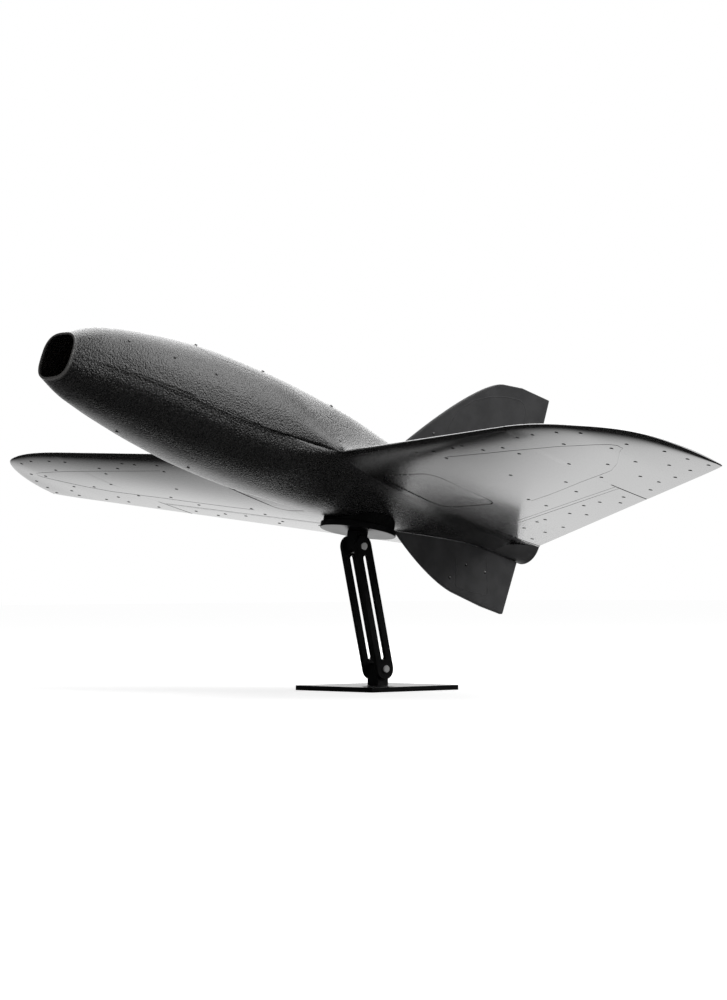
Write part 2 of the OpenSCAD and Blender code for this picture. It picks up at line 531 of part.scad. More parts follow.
module motor_stator() color("#b87333") at_air() at_tail() difference() {
    translate([0, 0, plate_t]) {
        cylinder(h = stator_t, r = base_r, $fn = fine);
        cylinder(h = bell_z[1] - plate_t - 2.4, r = 3.4, $fn = fine);
        for (a = [0:40:320]) rotate(a) translate([2.5, -1, stator_t + 1.2]) cube([5.6, 2, 5.4]);
    }
    bolts(bolt_d + 0.1, 0, plate_t + stator_t + 1);
    cylinder(h = 30, d = shaft_d + 2 * pin_clear, $fn = fine);
}
module motor_bell() color("#4a4a4e") at_air() at_tail() difference() {
    union() {
        ring_solid(bell_r, bell_r - 1.2, bell_z[0], bell_z[1]);
        ring_solid(bell_r - 1, shaft_d / 2 + 0.01, bell_z[1] - 1.6, bell_z[1]);
        for (a = [0:30:330]) rotate(a) translate([8.9, -2, bell_z[0] + 0.8]) cube([1.8, 4, 6.6]);
    }
    for (a = [0:60:300]) rotate(a) translate([6.8, 0, bell_z[1] - 3]) cylinder(h = 5, r = 1.8, $fn = 32);
}
shaft_groove = 0.8;
module motor_shaft() color("silver") at_air() at_tail() {
    translate([0, 0, -shaft_out]) cylinder(h = shaft_out, d = shaft_d, $fn = fine);
    cylinder(h = shaft_groove, d = shaft_d - 0.6, $fn = fine);
    translate([0, 0, shaft_groove]) cylinder(h = bell_z[1] + 1 - shaft_groove, d = shaft_d, $fn = fine);
}

// Formers, tray and equipment
former_t = 3;
front_x = 186;
rear_x = 76;
former_gap = 0.3;
function cav_ring(x, gap) = [for (a = [0:9:351])
    [(cav_w(x) - gap) * cos(a), cav_mid(x) + (cav_h(x) - gap) * sin(a)]];
module former_plate(x, t, limit) translate([x, 0, 0]) rotate([90, 0, 90]) linear_extrude(t) intersection() {
    polygon(cav_ring(x > 120 ? x + t : x, former_gap));
    translate([-100, -100]) square([200, 100 + limit]);
}
magnet_d = 5;
magnet_t = 2;
magnet_y = 13;
magnet_x = front_x + former_t;
magnet_top = cav_z(front_x + 2 * former_t, magnet_y + magnet_d / 2) - 0.3;
former_top = magnet_top - magnet_t - clear;
module at_magnets(z) for (y = [-magnet_y, magnet_y]) translate([magnet_x, y, z]) children();
module front_former() color("#c9a66b") at_air() difference() {
    former_plate(front_x, 2 * former_t, former_top);
    at_magnets(former_top - magnet_t - 0.1) cylinder(h = 10, d = magnet_d + 0.1, $fn = fine);
    translate([front_x - 1, 0, 14]) rotate([0, 90, 0]) cylinder(h = 20, d = 18, $fn = fine);
}
module former_magnets() color("silver") at_air() at_magnets(former_top - magnet_t - 0.1)
    cylinder(h = magnet_t + 0.1, d = magnet_d, $fn = fine);
module hatch_magnets() color("silver") at_air() at_magnets(magnet_top - magnet_t)
    cylinder(h = magnet_t, d = magnet_d, $fn = fine);
rear_top = 34;
rear_hole_z = 16;
rear_hole_r = 13;
module rear_former() color("#c9a66b") at_air() difference() {
    former_plate(rear_x - former_t, former_t, rear_top);
    translate([rear_x - former_t - 1, 0, rear_hole_z]) rotate([0, 90, 0]) cylinder(h = 10, r = rear_hole_r, $fn = fine);
}
tray_z = -6;
tray_t = 2;
tray_w = 42;
battery_x = 98;
strap_w = 16;
strap_t = 1;
strap_x = battery_x + battery_l / 2;
strap_in = battery_w / 2 + 0.3;
module equipment_tray() color("#c9a66b") at_air() difference() {
    translate([rear_x, -tray_w / 2, tray_z - tray_t]) cube([front_x - rear_x, tray_w, tray_t]);
    for (s = [-1, 1]) translate([strap_x - strap_w / 2 - 0.5, s * (strap_in + strap_t / 2) - strap_t, tray_z - tray_t - 1])
        cube([strap_w + 1, 2 * strap_t, tray_t + 2]);
}
module battery() color("#24406e") at_air() {
    translate([battery_x, -battery_w / 2, tray_z]) cube([battery_l, battery_w, battery_h]);
    for (y = [-5, 5]) translate([battery_x - 8, y, tray_z + battery_h - 5]) rotate([0, 90, 0]) cylinder(h = 8, d = 3, $fn = 32);
    translate([battery_x - 14, -8, tray_z + battery_h - 9]) cube([7, 16, 8]);
}
module battery_strap() color("#1a1a1a") at_air() translate([strap_x - strap_w / 2, 0, 0]) rotate([90, 0, 90])
    linear_extrude(strap_w) difference() {
        translate([-strap_in - strap_t, tray_z - tray_t - 0.2 - strap_t])
            square([2 * (strap_in + strap_t), battery_h + tray_t + 0.5 + 2 * strap_t]);
        translate([-strap_in, tray_z - tray_t - 0.2]) square([2 * strap_in, battery_h + tray_t + 0.5]);
    }
module speed_controller() color("#2d5a3a") at_air() translate([rear_x + 2, 8, tray_z]) {
    cube([16, 11, 5]);
    for (x = [4, 12]) translate([x, 5.5, 5]) cylinder(h = 4, d = 5, $fn = 32);
}
module receiver() color("#2b3f6b") at_air() translate([rear_x + 2, -19, tray_z]) {
    cube([16, 11, 4]);
    for (k = [0:4]) translate([2 + 2.6 * k, 2, 4]) cube([1.4, 6, 2.4]);
}

// Saddle pad: flat on the top plate, shaped to the belly above
module at_disc() at_air() translate([air_pivot[0], 0, air_pivot[1]]) rotate([0, saddle_tilt, 0]) children();
pad_r = disc_d / 2 - 1.5;
pad_z = disc_drop + disc_t;
function reach(u, y, h, n) = n == 0 ? h : let (x = air_pivot[0] + u * cos(saddle_tilt) + h * sin(saddle_tilt))
    reach(u, y, (gull_z(x, y, -1) - air_pivot[1] + u * sin(saddle_tilt)) / cos(saddle_tilt), n - 1);
module saddle_pad() color("#101011") at_disc() {
    rr = [0.02, 4, 8, 12, 16, 20, 23.5, pad_r];
    aa = [0:15:345];
    loft(concat([[for (a = aa) [pad_r * cos(a), pad_r * sin(a), pad_z]]],
        [for (k = [len(rr) - 1:-1:0]) [for (a = aa) let (u = rr[k] * cos(a), y = rr[k] * sin(a))
            [u, y, reach(u, y, saddle_h, 4) - clear]]]));
}

// Stand: base, knuckles, two slotted links and the round top plate
knuckle_r = knuckle_l / 2;
link_y = knuckle_w / 2 + 0.1;
head_d = 5.4;
head_h = 1.5;
nut_w = 5.5;
nut_h = 2.4;
slot_end = 7;
plate_screw_y = 3.6;
head_sink = 0.05;
module at_low() translate([low_pivot[0], 0, low_pivot[1]]) children();
module at_up() translate([up_pivot[0], 0, up_pivot[1]]) children();
module at_links() at_low() rotate([0, link_lean, 0]) children();
module cross_bore(d, l) rotate([90, 0, 0]) cylinder(h = l, d = d, center = true, $fn = fine);
module screw_row(x0) for (s = [-1, 1]) translate([x0, s * plate_screw_y, 0]) children();
module countersunk(d, l) {
    cylinder(h = l, d = d, $fn = 32);
    cylinder(h = d / 2, r1 = d, r2 = d / 2, $fn = 32);
}
module base_plate() color(part_black) difference() {
    translate([-base_w / 2, -base_w / 2, 0]) cube([base_w, base_w, base_t]);
    screw_row(low_pivot[0]) translate([0, 0, -0.01]) countersunk(screw_d + 0.2, base_t + 1);
}
module knuckle(h) difference() {
    union() {
        translate([-knuckle_l / 2, -knuckle_w / 2, -h]) cube([knuckle_l, knuckle_w, h]);
        cross_bore(knuckle_l, knuckle_w);
    }
    cross_bore(screw_d + 2 * pin_clear, knuckle_w + 2);
    translate([0, 0, -h]) screw_row(0) translate([0, 0, -1]) cylinder(h = 5.5, d = screw_d + 0.05, $fn = 32);
}
module base_knuckle() color(part_black) at_low() knuckle(low_pivot_z - base_t);
module base_screws() color("silver") screw_row(low_pivot[0]) translate([0, 0, head_sink]) countersunk(screw_d, base_t + 3.5);
module link_plate() difference() {
    rotate([90, 0, 0]) linear_extrude(link_t, center = true) {
        translate([-link_w / 2, 0]) square([link_w, link_l]);
        for (z = [0, link_l]) translate([0, z]) circle(link_w / 2, $fn = 96);
    }
    for (z = [0, link_l]) translate([0, 0, z]) cross_bore(screw_d + 0.1, link_t + 2);
    rotate([90, 0, 0]) linear_extrude(link_t + 2, center = true) {
        translate([-slot_w / 2, slot_end + slot_w / 2]) square([slot_w, link_l - 2 * slot_end - slot_w]);
        for (z = [slot_end + slot_w / 2, link_l - slot_end - slot_w / 2]) translate([0, z]) circle(slot_w / 2, $fn = fine);
    }
}
module link_left() color(part_black) at_links() translate([0, link_y + link_t / 2, 0]) link_plate();
module link_right() color(part_black) at_links() translate([0, -link_y - link_t / 2, 0]) link_plate();
module at_pivots() at_links() for (z = [0, link_l]) translate([0, 0, z]) children();
screw_far = link_y + link_t + nut_h + 0.6;
module pivot_screws() color("silver") at_pivots() rotate([90, 0, 0]) {
    translate([0, 0, -link_y - link_t]) cylinder(h = link_y + link_t + screw_far, d = screw_d, $fn = fine);
    translate([0, 0, -link_y - link_t - head_h]) cylinder(h = head_h, d = head_d, $fn = fine);
}
module pivot_nuts() color("silver") at_pivots() rotate([90, 0, 0]) translate([0, 0, link_y + link_t]) difference() {
    cylinder(h = nut_h, d = nut_w / cos(30), $fn = 6);
    translate([0, 0, -1]) cylinder(h = nut_h + 2, d = screw_d + 0.02, $fn = fine);
}
module top_knuckle() color(part_black) at_disc() mirror([0, 0, 1]) knuckle(disc_drop);
module top_plate() color(part_black) at_disc() difference() {
    translate([0, 0, disc_drop]) cylinder(h = disc_t, d = disc_d, $fn = 128);
    screw_row(0) translate([0, 0, pad_z + 0.01]) mirror([0, 0, 1]) countersunk(screw_d + 0.2, disc_t + 1);
}
module plate_screws() color("silver") at_disc() screw_row(0) translate([0, 0, pad_z - head_sink])
    mirror([0, 0, 1]) countersunk(screw_d, disc_t + 3.5);

base_plate();
base_knuckle();
base_screws();
link_left();
link_right();
pivot_screws();
pivot_nuts();
top_knuckle();
top_plate();
plate_screws();
saddle_pad();
fuselage_lower();
fuselage_upper();
wing_left();
wing_right();
dorsal_fin();
ventral_fin();
tail_tube();
main_spar();
front_former();
rear_former();
equipment_tray();
battery();
battery_strap();
speed_controller();
receiver();
servo_left();
servo_right();
servo_cover_left();
servo_cover_right();
motor_plate();
motor_screws();
motor_stator();
motor_bell();
motor_shaft();
battery_hatch();
hatch_magnets();
former_magnets();
elevon_left();
elevon_right();
control_horn_left();
control_horn_right();
servo_arm_left();
servo_arm_right();
pushrod_left();
pushrod_right();
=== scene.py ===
import json
import math
import bmesh
import bpy
import numpy as np
from mathutils import Matrix, Vector


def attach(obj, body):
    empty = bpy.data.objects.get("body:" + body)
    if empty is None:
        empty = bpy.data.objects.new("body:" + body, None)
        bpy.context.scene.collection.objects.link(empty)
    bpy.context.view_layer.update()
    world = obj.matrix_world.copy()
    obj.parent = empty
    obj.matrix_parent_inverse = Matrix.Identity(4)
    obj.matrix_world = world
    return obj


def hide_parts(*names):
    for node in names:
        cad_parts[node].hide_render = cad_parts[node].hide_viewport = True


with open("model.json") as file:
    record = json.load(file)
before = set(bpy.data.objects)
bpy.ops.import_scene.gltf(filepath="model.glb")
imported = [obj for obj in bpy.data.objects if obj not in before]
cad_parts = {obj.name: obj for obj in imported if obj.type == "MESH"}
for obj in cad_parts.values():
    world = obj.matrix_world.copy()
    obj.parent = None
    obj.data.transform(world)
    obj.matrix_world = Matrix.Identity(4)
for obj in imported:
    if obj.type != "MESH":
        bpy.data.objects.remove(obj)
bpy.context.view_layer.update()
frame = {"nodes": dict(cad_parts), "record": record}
scene = bpy.context.scene
scene.view_settings.view_transform = "Standard"
print("frame loaded")

# Camera at the photograph's viewing place; the picture is 727 by 1000
camera = {"place": (1.554544, 1.735066, 0.077719), "right": (-0.747494, 0.664250, -0.004836),
          "up": (0.014195, 0.023251, 0.999629), "ahead": (-0.664116, -0.747148, 0.026809),
          "focalPixels": 3153.91, "pictureHeight": 1000, "sensor": 36, "clip": (0.05, 60)}


def makeCamera(c):
    data = bpy.data.cameras.new("photoCamera")
    data.sensor_fit, data.sensor_height = "VERTICAL", c["sensor"]
    data.lens = c["focalPixels"] * c["sensor"] / c["pictureHeight"]
    data.clip_start, data.clip_end = c["clip"]
    camObject = bpy.data.objects.new("photoCamera", data)
    scene.collection.objects.link(camObject)
    axes = Matrix((c["right"], c["up"], [-a for a in c["ahead"]])).transposed()
    camObject.matrix_world = Matrix.Translation(c["place"]) @ axes.to_4x4()
    scene.camera = camObject


makeCamera(camera)


# Shader maths: a Value wraps a socket, and sums on it add Math nodes
class Value:
    def __init__(self, paint, socket):
        self.paint, self.socket = paint, socket

    def op(self, kind, other=None, swap=False):
        pair = [self] if other is None else [other, self] if swap else [self, other]
        return self.paint.add("ShaderNodeMath", {"operation": kind}, pair)

    def __add__(self, other):
        return self.op("ADD", other)

    def __sub__(self, other):
        return self.op("SUBTRACT", other)

    def __rsub__(self, other):
        return self.op("SUBTRACT", other, True)

    def __mul__(self, other):
        return self.op("MULTIPLY", other)

    def __truediv__(self, other):
        return self.op("DIVIDE", other)

    def __rtruediv__(self, other):
        return self.op("DIVIDE", other, True)

    __radd__, __rmul__ = __add__, __mul__

    def step(self, low, high):
        # 0 below low, 1 above high, smooth between; low may be the larger
        return self.paint.add("ShaderNodeMapRange", {"interpolation_type": "SMOOTHSTEP"},
                              {"Value": self, "From Min": low, "From Max": high}, "Result")


class Paint:
    # The nodes of a material, or of the world where it is handed in
    def __init__(self, name, world=None):
        self.material = world or bpy.data.materials.new(name)
        self.material.use_nodes = True
        self.tree = self.material.node_tree
        self.shader = self.tree.nodes.get("Principled BSDF")

    def add(self, kind, settings=None, inputs=None, out=0):
        node = self.tree.nodes.new(kind)
        for key, value in (settings or {}).items():
            setattr(node, key, value)
        for key, value in inputs.items() if isinstance(inputs, dict) else enumerate(inputs or []):
            self.feed(node.inputs[key], value)
        return Value(self, node.outputs[out])

    def feed(self, socket, value):
        if isinstance(value, Value):
            self.tree.links.new(value.socket, socket)
        else:
            isColour = socket.type == "RGBA" and isinstance(value, tuple) and len(value) == 3
            socket.default_value = (*value, 1) if isColour else value

    def set(self, **sockets):
        # Socket names are written without spaces
        names = {s.name.replace(" ", ""): s for s in self.shader.inputs}
        for key, value in sockets.items():
            self.feed(names[key], value)
        return self.material

    def spot(self):
        return self.add("ShaderNodeTexCoord", out="Object")

    def noise(self, spot, scale, detail=2.0, rough=0.5):
        return self.add("ShaderNodeTexNoise", {},
                        {"Vector": spot, "Scale": scale, "Detail": detail, "Roughness": rough}, "Fac")

    def waves(self, spot, along, scale, distortion):
        return self.add("ShaderNodeTexWave", {"bands_direction": along},
                        {"Vector": spot, "Scale": scale, "Distortion": distortion}, "Fac")

    def stretch(self, spot, scales):
        return self.add("ShaderNodeMapping", {}, {"Vector": spot, "Scale": scales})

    def blend(self, factor, one, two):
        return self.add("ShaderNodeMix", {"data_type": "RGBA"}, {0: factor, 6: one, 7: two}, 2)

    def bump(self, height, strength, distance):
        return self.add("ShaderNodeBump", {}, {"Strength": strength, "Distance": distance, "Height": height})

    def dot(self, spot, axis, origin=(0, 0, 0)):
        # Distance of the shaded point along an axis
        away = self.add("ShaderNodeVectorMath", {"operation": "SUBTRACT"}, [spot, origin])
        return self.add("ShaderNodeVectorMath", {"operation": "DOT_PRODUCT"}, [away, axis], "Value")

    def rays(self, *kinds):
        # 1 for rays of any of these kinds, 0 for the others
        first, *others = [self.add("ShaderNodeLightPath", out="Is " + kind + " Ray") for kind in kinds]
        return sum(others, first).op("MINIMUM", 1.0)


# Light: a white backdrop behind the object, a dark room on the camera's side, and soft boxes above.
# The backdrop's edges are soft steps to its left, to its right, below it and in front
room = {"behind": (-0.83, -0.56), "left": (0.16, 0.0), "right": (-0.75, -0.3), "below": (-0.85, -0.55),
        "front": (0.0, 0.1), "dark": 0.015, "fill": 0.38}
boxes = {"topBox": {"place": (-0.65, -0.4, 1.45), "aim": (0.1, 0, 0.2), "size": (1.4, 1.4), "power": 9},
         "sideBox": {"place": (-1.03, 1.13, 1.22), "aim": (0.1, 0, 0.2), "size": (2.6, 1.6), "power": 20},
         "backBox": {"place": (-1.3, -1.4, 0.9), "aim": (0, 0, 0.1), "size": (1.4, 0.9), "power": 6}}
paper = {"colour": (0.85, 0.85, 0.85), "rough": 0.9, "glow": 0.66, "reach": 9}


def makeWorld():
    sky = Paint("studioWorld", bpy.data.worlds.new("studioWorld"))
    scene.world = sky.material
    way = sky.add("ShaderNodeTexCoord", out="Generated")
    across, deep, rise = (sky.dot(way, axis) for axis in ((1, 0, 0), (0, 1, 0), (0, 0, 1)))
    level = (across * across + deep * deep + 0.0001).op("SQRT")
    behindX, behindY = room["behind"]
    side = (across * behindY - deep * behindX) / level
    edges = side.step(*room["left"]) * side.step(*room["right"]) * rise.step(*room["below"])
    backdrop = edges * (across * behindX + deep * behindY).step(*room["front"])
    mirrored = backdrop * (1 - room["dark"]) + room["dark"]
    seen, glossy = sky.rays("Camera", "Transmission"), sky.rays("Glossy")
    strength = seen + (1 - seen) * (glossy * mirrored + (1 - glossy) * room["fill"])
    back = sky.tree.nodes["Background"]
    sky.feed(back.inputs["Color"], (1.0, 1.0, 1.0))
    sky.feed(back.inputs["Strength"], strength)


def makeSoftBox(name, b):
    lamp = bpy.data.lights.new(name, "AREA")
    lamp.shape, lamp.energy = "RECTANGLE", b["power"]
    lamp.size, lamp.size_y = b["size"]
    box = bpy.data.objects.new(name, lamp)
    scene.collection.objects.link(box)
    box.location = b["place"]
    box.rotation_euler = (Vector(b["aim"]) - Vector(b["place"])).to_track_quat("-Z", "Y").to_euler()


def makeFloor():
    p = Paint("paperFloor")
    seen = p.rays("Camera", "Glossy", "Transmission")
    p.set(BaseColor=paper["colour"], Roughness=paper["rough"], SpecularIORLevel=0.0,
          EmissionColor=(1.0, 1.0, 1.0), EmissionStrength=seen * paper["glow"])
    mesh = bpy.data.meshes.new("floor")
    reach = paper["reach"]
    corners = ((-reach, -reach, 0), (reach, -reach, 0), (reach, reach, 0), (-reach, reach, 0))
    mesh.from_pydata(corners, [], [(0, 1, 2, 3)])
    floor = bpy.data.objects.new("floor", mesh)
    scene.collection.objects.link(floor)
    mesh.materials.append(p.material)
    floor.visible_glossy = False


makeWorld()
for name, box in boxes.items():
    makeSoftBox(name, box)
makeFloor()
print("camera and light made")

# Foam skin: black and satin, with a moulded grain on the body that fades out along the wings (metres on
# the airframe's own axes, which stand 20 degrees nose-up; fades in millimetres from the middle)
airAxes = {"ahead": (0.93969, 0.0, 0.34202), "up": (-0.34202, 0.0, 0.93969), "origin": (0.01139, 0.0, 0.13253)}
# The lip colour is a painted highlight: a lighter base colour on the nose's front ring stands in for the light it
# catches
foam = {"dark": (0.007, 0.007, 0.0075), "light": (0.021, 0.0205, 0.02), "lip": (0.11, 0.107, 0.104),
        "lipAt": (0.2945, 0.2965), "grainFades": (60, 175), "glossGrows": (60, 220),
        "fine": 1250, "pits": 780, "broad": 28, "deep": 0.00075, "rough": 0.14}


def makeFoam():
    p = Paint("foamBlack")
    spot = p.spot()
    out = (p.dot(spot, (0, 1, 0)) * 1000).op("ABSOLUTE")
    ahead = p.dot(spot, airAxes["ahead"], airAxes["origin"])
    up = p.dot(p.add("ShaderNodeTexCoord", out="Normal"), airAxes["up"])
    # Faces that look straight up or down have less grain; the gloss grows towards the tips and the rear
    level = (1 - up.step(0.8, 0.97) * 0.6) * (1 - up.step(-0.85, -1.0) * 0.6)
    grainy = (1 - out.step(*foam["grainFades"]) * 0.95) * level
    glossy = (out - ahead * 1500).step(*foam["glossGrows"])
    fine, pits, broad = p.noise(spot, foam["fine"]), p.noise(spot, foam["pits"]), p.noise(spot, foam["broad"], 3, 0.55)
    grain = (fine * 0.5 + pits * 0.8) * grainy
    black = p.blend(pits.step(0.35, 0.7), foam["dark"], foam["light"])
    rough = foam["rough"] + grainy * pits.step(0.35, 0.65) * 0.14 + broad * 0.05
    # Painted highlight: the base colour turns lighter round the nose's lip, in place of the highlight on that ring
    return p.set(BaseColor=p.blend(ahead.step(*foam["lipAt"]), black, foam["lip"]), Roughness=rough, IOR=2.2,
                 CoatWeight=glossy, CoatRoughness=0.11, CoatIOR=2.5, Normal=p.bump(grain, 0.9, foam["deep"]))


def makeMoulded(name, dark, light, rough, grain):
    # Plain moulded plastic: faint mottling and a fine grain
    p = Paint(name)
    spot = p.spot()
    mottle, fine = p.noise(spot, 60, 3, 0.6), p.noise(spot, 1500)
    return p.set(BaseColor=p.blend(mottle.step(0.3, 0.7), dark, light), Roughness=rough + mottle * 0.12,
                 Normal=p.bump(fine, grain, 0.0003))


def makeMetal(name, colour, rough, brushed, metal=1.0):
    # Brushed metal: fine marks, a little darker and rougher
    p = Paint(name)
    lines = p.noise(p.spot(), brushed, 3, 0.6)
    return p.set(BaseColor=p.blend(lines, tuple(c * 0.8 for c in colour), colour), Metallic=metal,
                 Roughness=rough + lines * 0.12, Normal=p.bump(lines, 0.1, 0.0002))


def makeCarbon():
    # Pultruded tube: long fine streaks under a clear resin
    p = Paint("carbonTube")
    streaks = p.noise(p.stretch(p.spot(), (900.0, 25.0, 900.0)), 1.0, 3, 0.6)
    black = p.blend(streaks.step(0.3, 0.7), (0.01, 0.01, 0.011), (0.045, 0.045, 0.048))
    return p.set(BaseColor=black, Roughness=0.3 + streaks * 0.2, Normal=p.bump(streaks, 0.25, 0.0003),
                 CoatWeight=0.5, CoatRoughness=0.1)


def makePlywood():
    # Light birch with the grain along the body, and darker rings
    p = Paint("plywoodSheet")
    drawn = p.stretch(p.spot(), (12.0, 260.0, 260.0))
    grain, rings = p.noise(drawn, 1.0, 4, 0.6), p.noise(drawn, 0.25)
    light = p.blend(rings.step(0.35, 0.65), (0.5, 0.36, 0.21), (0.66, 0.51, 0.33))
    return p.set(BaseColor=p.blend(grain.step(0.45, 0.75) * 0.5, light, (0.4, 0.26, 0.14)),
                 Roughness=0.6 + grain * 0.2, Normal=p.bump(grain, 0.3, 0.0003))


def makeWrap():
    # Shrink film: small soft wrinkles and a gloss coat
    p = Paint("shrinkWrap")
    spot = p.spot()
    wrinkle, cloud = p.noise(spot, 180, 3), p.noise(spot, 35)
    blue = p.blend(cloud.step(0.3, 0.7), (0.06, 0.13, 0.34), (0.09, 0.2, 0.46))
    return p.set(BaseColor=blue, Roughness=0.25 + cloud * 0.15, Normal=p.bump(wrinkle, 0.35, 0.0006),
                 CoatWeight=0.6, CoatRoughness=0.12)


def makeWebbing():
    # Woven strap: threads over and under each other
    p = Paint("strapWebbing")
    spot = p.spot()
    weave = (p.waves(spot, "X", 190.0, 0.4) - p.waves(spot, "Y", 190.0, 0.4)).op("ABSOLUTE")
    return p.set(BaseColor=p.blend(weave, (0.012, 0.012, 0.013), (0.05, 0.05, 0.052)),
                 Roughness=0.8 + weave * 0.1, Normal=p.bump(weave, 0.6, 0.0004))


def makeBoard(name, dark, light):
    # Circuit board: small square fields of lighter and darker lacquer
    p = Paint(name)
    spot = p.spot()
    fields = p.add("ShaderNodeTexVoronoi", {"distance": "CHEBYCHEV"}, {"Vector": spot, "Scale": 260.0}, "Distance")
    fine = p.noise(spot, 900)
    return p.set(BaseColor=p.blend(fields.step(0.25, 0.6), light, dark), Roughness=0.35 + fields * 0.3,
                 Normal=p.bump(fields + fine * 0.3, 0.3, 0.0003))


def makeWinding():
    # Copper wire: close turns round the tail's axis
    p = Paint("copperWire")
    turns = p.waves(p.spot(), "X", 420.0, 1.0)
    return p.set(BaseColor=p.blend(turns, (0.3, 0.13, 0.05), (0.72, 0.38, 0.18)), Metallic=0.9,
                 Roughness=0.3 + turns * 0.15, Normal=p.bump(turns, 0.6, 0.0004))


# One finish for each material slot of the record, and one for the fins
paints = {"foam_black": makeFoam(),
          "fin": makeMoulded("finBlack", (0.034, 0.034, 0.036), (0.05, 0.05, 0.052), 0.55, 0.25),
          "tail_plastic": makeMoulded("tailPlastic", (0.03, 0.03, 0.031), (0.046, 0.046, 0.047), 0.42, 0.2),
          "stand_black": makeMoulded("standBlack", (0.003, 0.003, 0.0035), (0.007, 0.007, 0.0075), 0.26, 0.12),
          "pad_rubber": makeMoulded("padRubber", (0.002, 0.002, 0.002), (0.004, 0.004, 0.004), 0.85, 0.5),
          "servo_case": makeMoulded("servoCase", (0.03, 0.03, 0.033), (0.05, 0.05, 0.054), 0.3, 0.3),
          "screw_steel": makeMetal("screwSteel", (0.8, 0.8, 0.79), 0.42, 900, 0.4),
          "motor_alloy": makeMetal("motorAlloy", (0.3, 0.3, 0.32), 0.3, 700, 0.9),
          "magnet_nickel": makeMetal("magnetNickel", (0.75, 0.74, 0.72), 0.15, 1200),
          "electronics_board": makeBoard("greenBoard", (0.05, 0.15, 0.08), (0.1, 0.24, 0.14)),
          "carbon": makeCarbon(), "plywood": makePlywood(), "battery_wrap": makeWrap(),
          "strap_webbing": makeWebbing(), "stator_copper": makeWinding()}


def dress(thing, material):
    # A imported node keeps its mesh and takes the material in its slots
    for place in thing.material_slots:
        place.material = material
    if not thing.material_slots:
        thing.data.materials.append(material)


for row in frame["record"]["subparts"]:
    dress(frame["nodes"][row["node"]], paints[row["material_slot"]])
print("materials made")


# Shape maths. The airframe is drawn in millimetres in its own frame: x forward along the wing, z square
# to it, and s is 1 for an upper skin and -1 for a lower one
def mix(a, b, t):
    return a + (b - a) * t


def unit(v, a, b):
    return np.clip((v - a) / (b - a), 0, 1)


def smooth(v, a, b):
    t = unit(v, a, b)
    return t * t * (3 - 2 * t)


def through(*stations):
    # Cubic line through (place, value) stations, with the slope at each one taken from its neighbours
    x, v = np.array(stations, float)[::-1].T
    slope = np.concatenate([(v[1:2] - v[:1]) / (x[1:2] - x[:1]), (v[2:] - v[:-2]) / (x[2:] - x[:-2]),
                            (v[-1:] - v[-2:-1]) / (x[-1:] - x[-2:-1])])

    def line(at):
        i = np.clip(np.searchsorted(x, at) - 1, 0, len(x) - 2)
        h = x[i + 1] - x[i]
        t = (at - x[i]) / h
        return (v[i] * (2 * t ** 3 - 3 * t ** 2 + 1) + h * slope[i] * (t ** 3 - 2 * t ** 2 + t)
                + v[i + 1] * (3 * t ** 2 - 2 * t ** 3) + h * slope[i + 1] * (t ** 3 - t ** 2))
    return line


tail = {"x": 165.0, "axisZ": 33.0, "drop": math.tan(math.radians(3.9)), "r": 15.0, "plate": 2.0, "wall": 1.6,
        "spigotR": 12.4, "spigot": 25, "step": 2, "clear": 0.1}
wing = {"rootY": 56.0, "rootLe": 77.0, "teX": -153.3, "sweep": math.tan(math.radians(25.5)), "half": 365.0,
        "leSweep": math.tan(math.radians(9.5)), "rootT": 17.0, "midT": 11, "midY": 200, "tipT": 5.0, "tipFlat": 25,
        "z": 19.1, "leDrop": 4.5, "dropFade": 60, "anhedral": 0.0124, "tipRound": 120.0, "edge": 1.2}
rootTe = wing["teX"] + wing["sweep"] * wing["rootY"]


def tailAxis(x):
    # Height of the tail tube's axis, a straight line that falls forward
    return tail["axisZ"] - (x + tail["x"]) * tail["drop"]


body = {"nose": 297.0, "wall": 4.5, "noseWall": 1.5, "flare": 33.0, "cavityEnd": -98.0, "bore": 12.7, "ring": 36,
        "hatch": (12.0, 205.0), "hatchT": 0.45, "hatchR": 18.0, "gap": 0.35, "cut": 12, "girth": 72,
        "egg": (2.2, 2.8), "cavityEgg": (2, 3), "eggFrom": 262, "blend": (60, 140), "hump": 2.6, "edgeFade": 28,
        "narrow": 0.78, "widen": (60, 150), "thin": 240}
seam = {"start": 90, "z": 13.2, "blend": 20, "edge": 0.4, "rise": 7, "riseFrom": (-10, 110), "groove": 0.6}
topLine = through((297, 17), (272, 31.6), (232, 43.4), (189, 51.7), (145, 55.4), (97, 58.1), (48, 57.2),
                  (3, 52.2), (-45, 48), (-90, 46.3), (rootTe, tailAxis(rootTe) + tail["r"]))
lowLine = through((297, -17.1), (272, -24.6), (227, -28.8), (197, -30.2), (166, -30.5), (113, -27.5),
                  (68, -21.8), (37, -17.2), (2, -10.8), (-35, -3.5), (-69, 4.9), (-101, 12),
                  (rootTe, tailAxis(rootTe) - tail["r"]))
sideLine = through((297, 18), (285, 22.2), (272, 26.3), (249, 33.1), (227, 37.9), (197, 41.8), (166, 44),
                   (120, 44.5), (77, 42), (37, 38.5), (2, 36), (-35, 30), (-69, 24), (-101, 19), (rootTe, 17.5))
frontSeam = through((297, 0.5), (249, 3), (187, 4.5), (147, 6.5), (113, 10.5), (seam["start"], seam["z"]))


def teX(y):
    # Trailing edge: a straight line, swept forward towards the tips
    return wing["teX"] + wing["sweep"] * np.abs(y)


def leRun(y):
    # Leading edge before the tip is rounded: a straight line
    return wing["rootLe"] + wing["leSweep"] * (np.abs(y) - wing["rootY"])


def leX(y):
    # Leading edge: it turns back to the tip's corner as sqrt(1 - u^2.15)
    u = unit(np.abs(y), wing["half"] - wing["tipRound"], wing["half"])
    return mix(teX(wing["half"]), leRun(y), np.sqrt(1 - u ** 2.15))


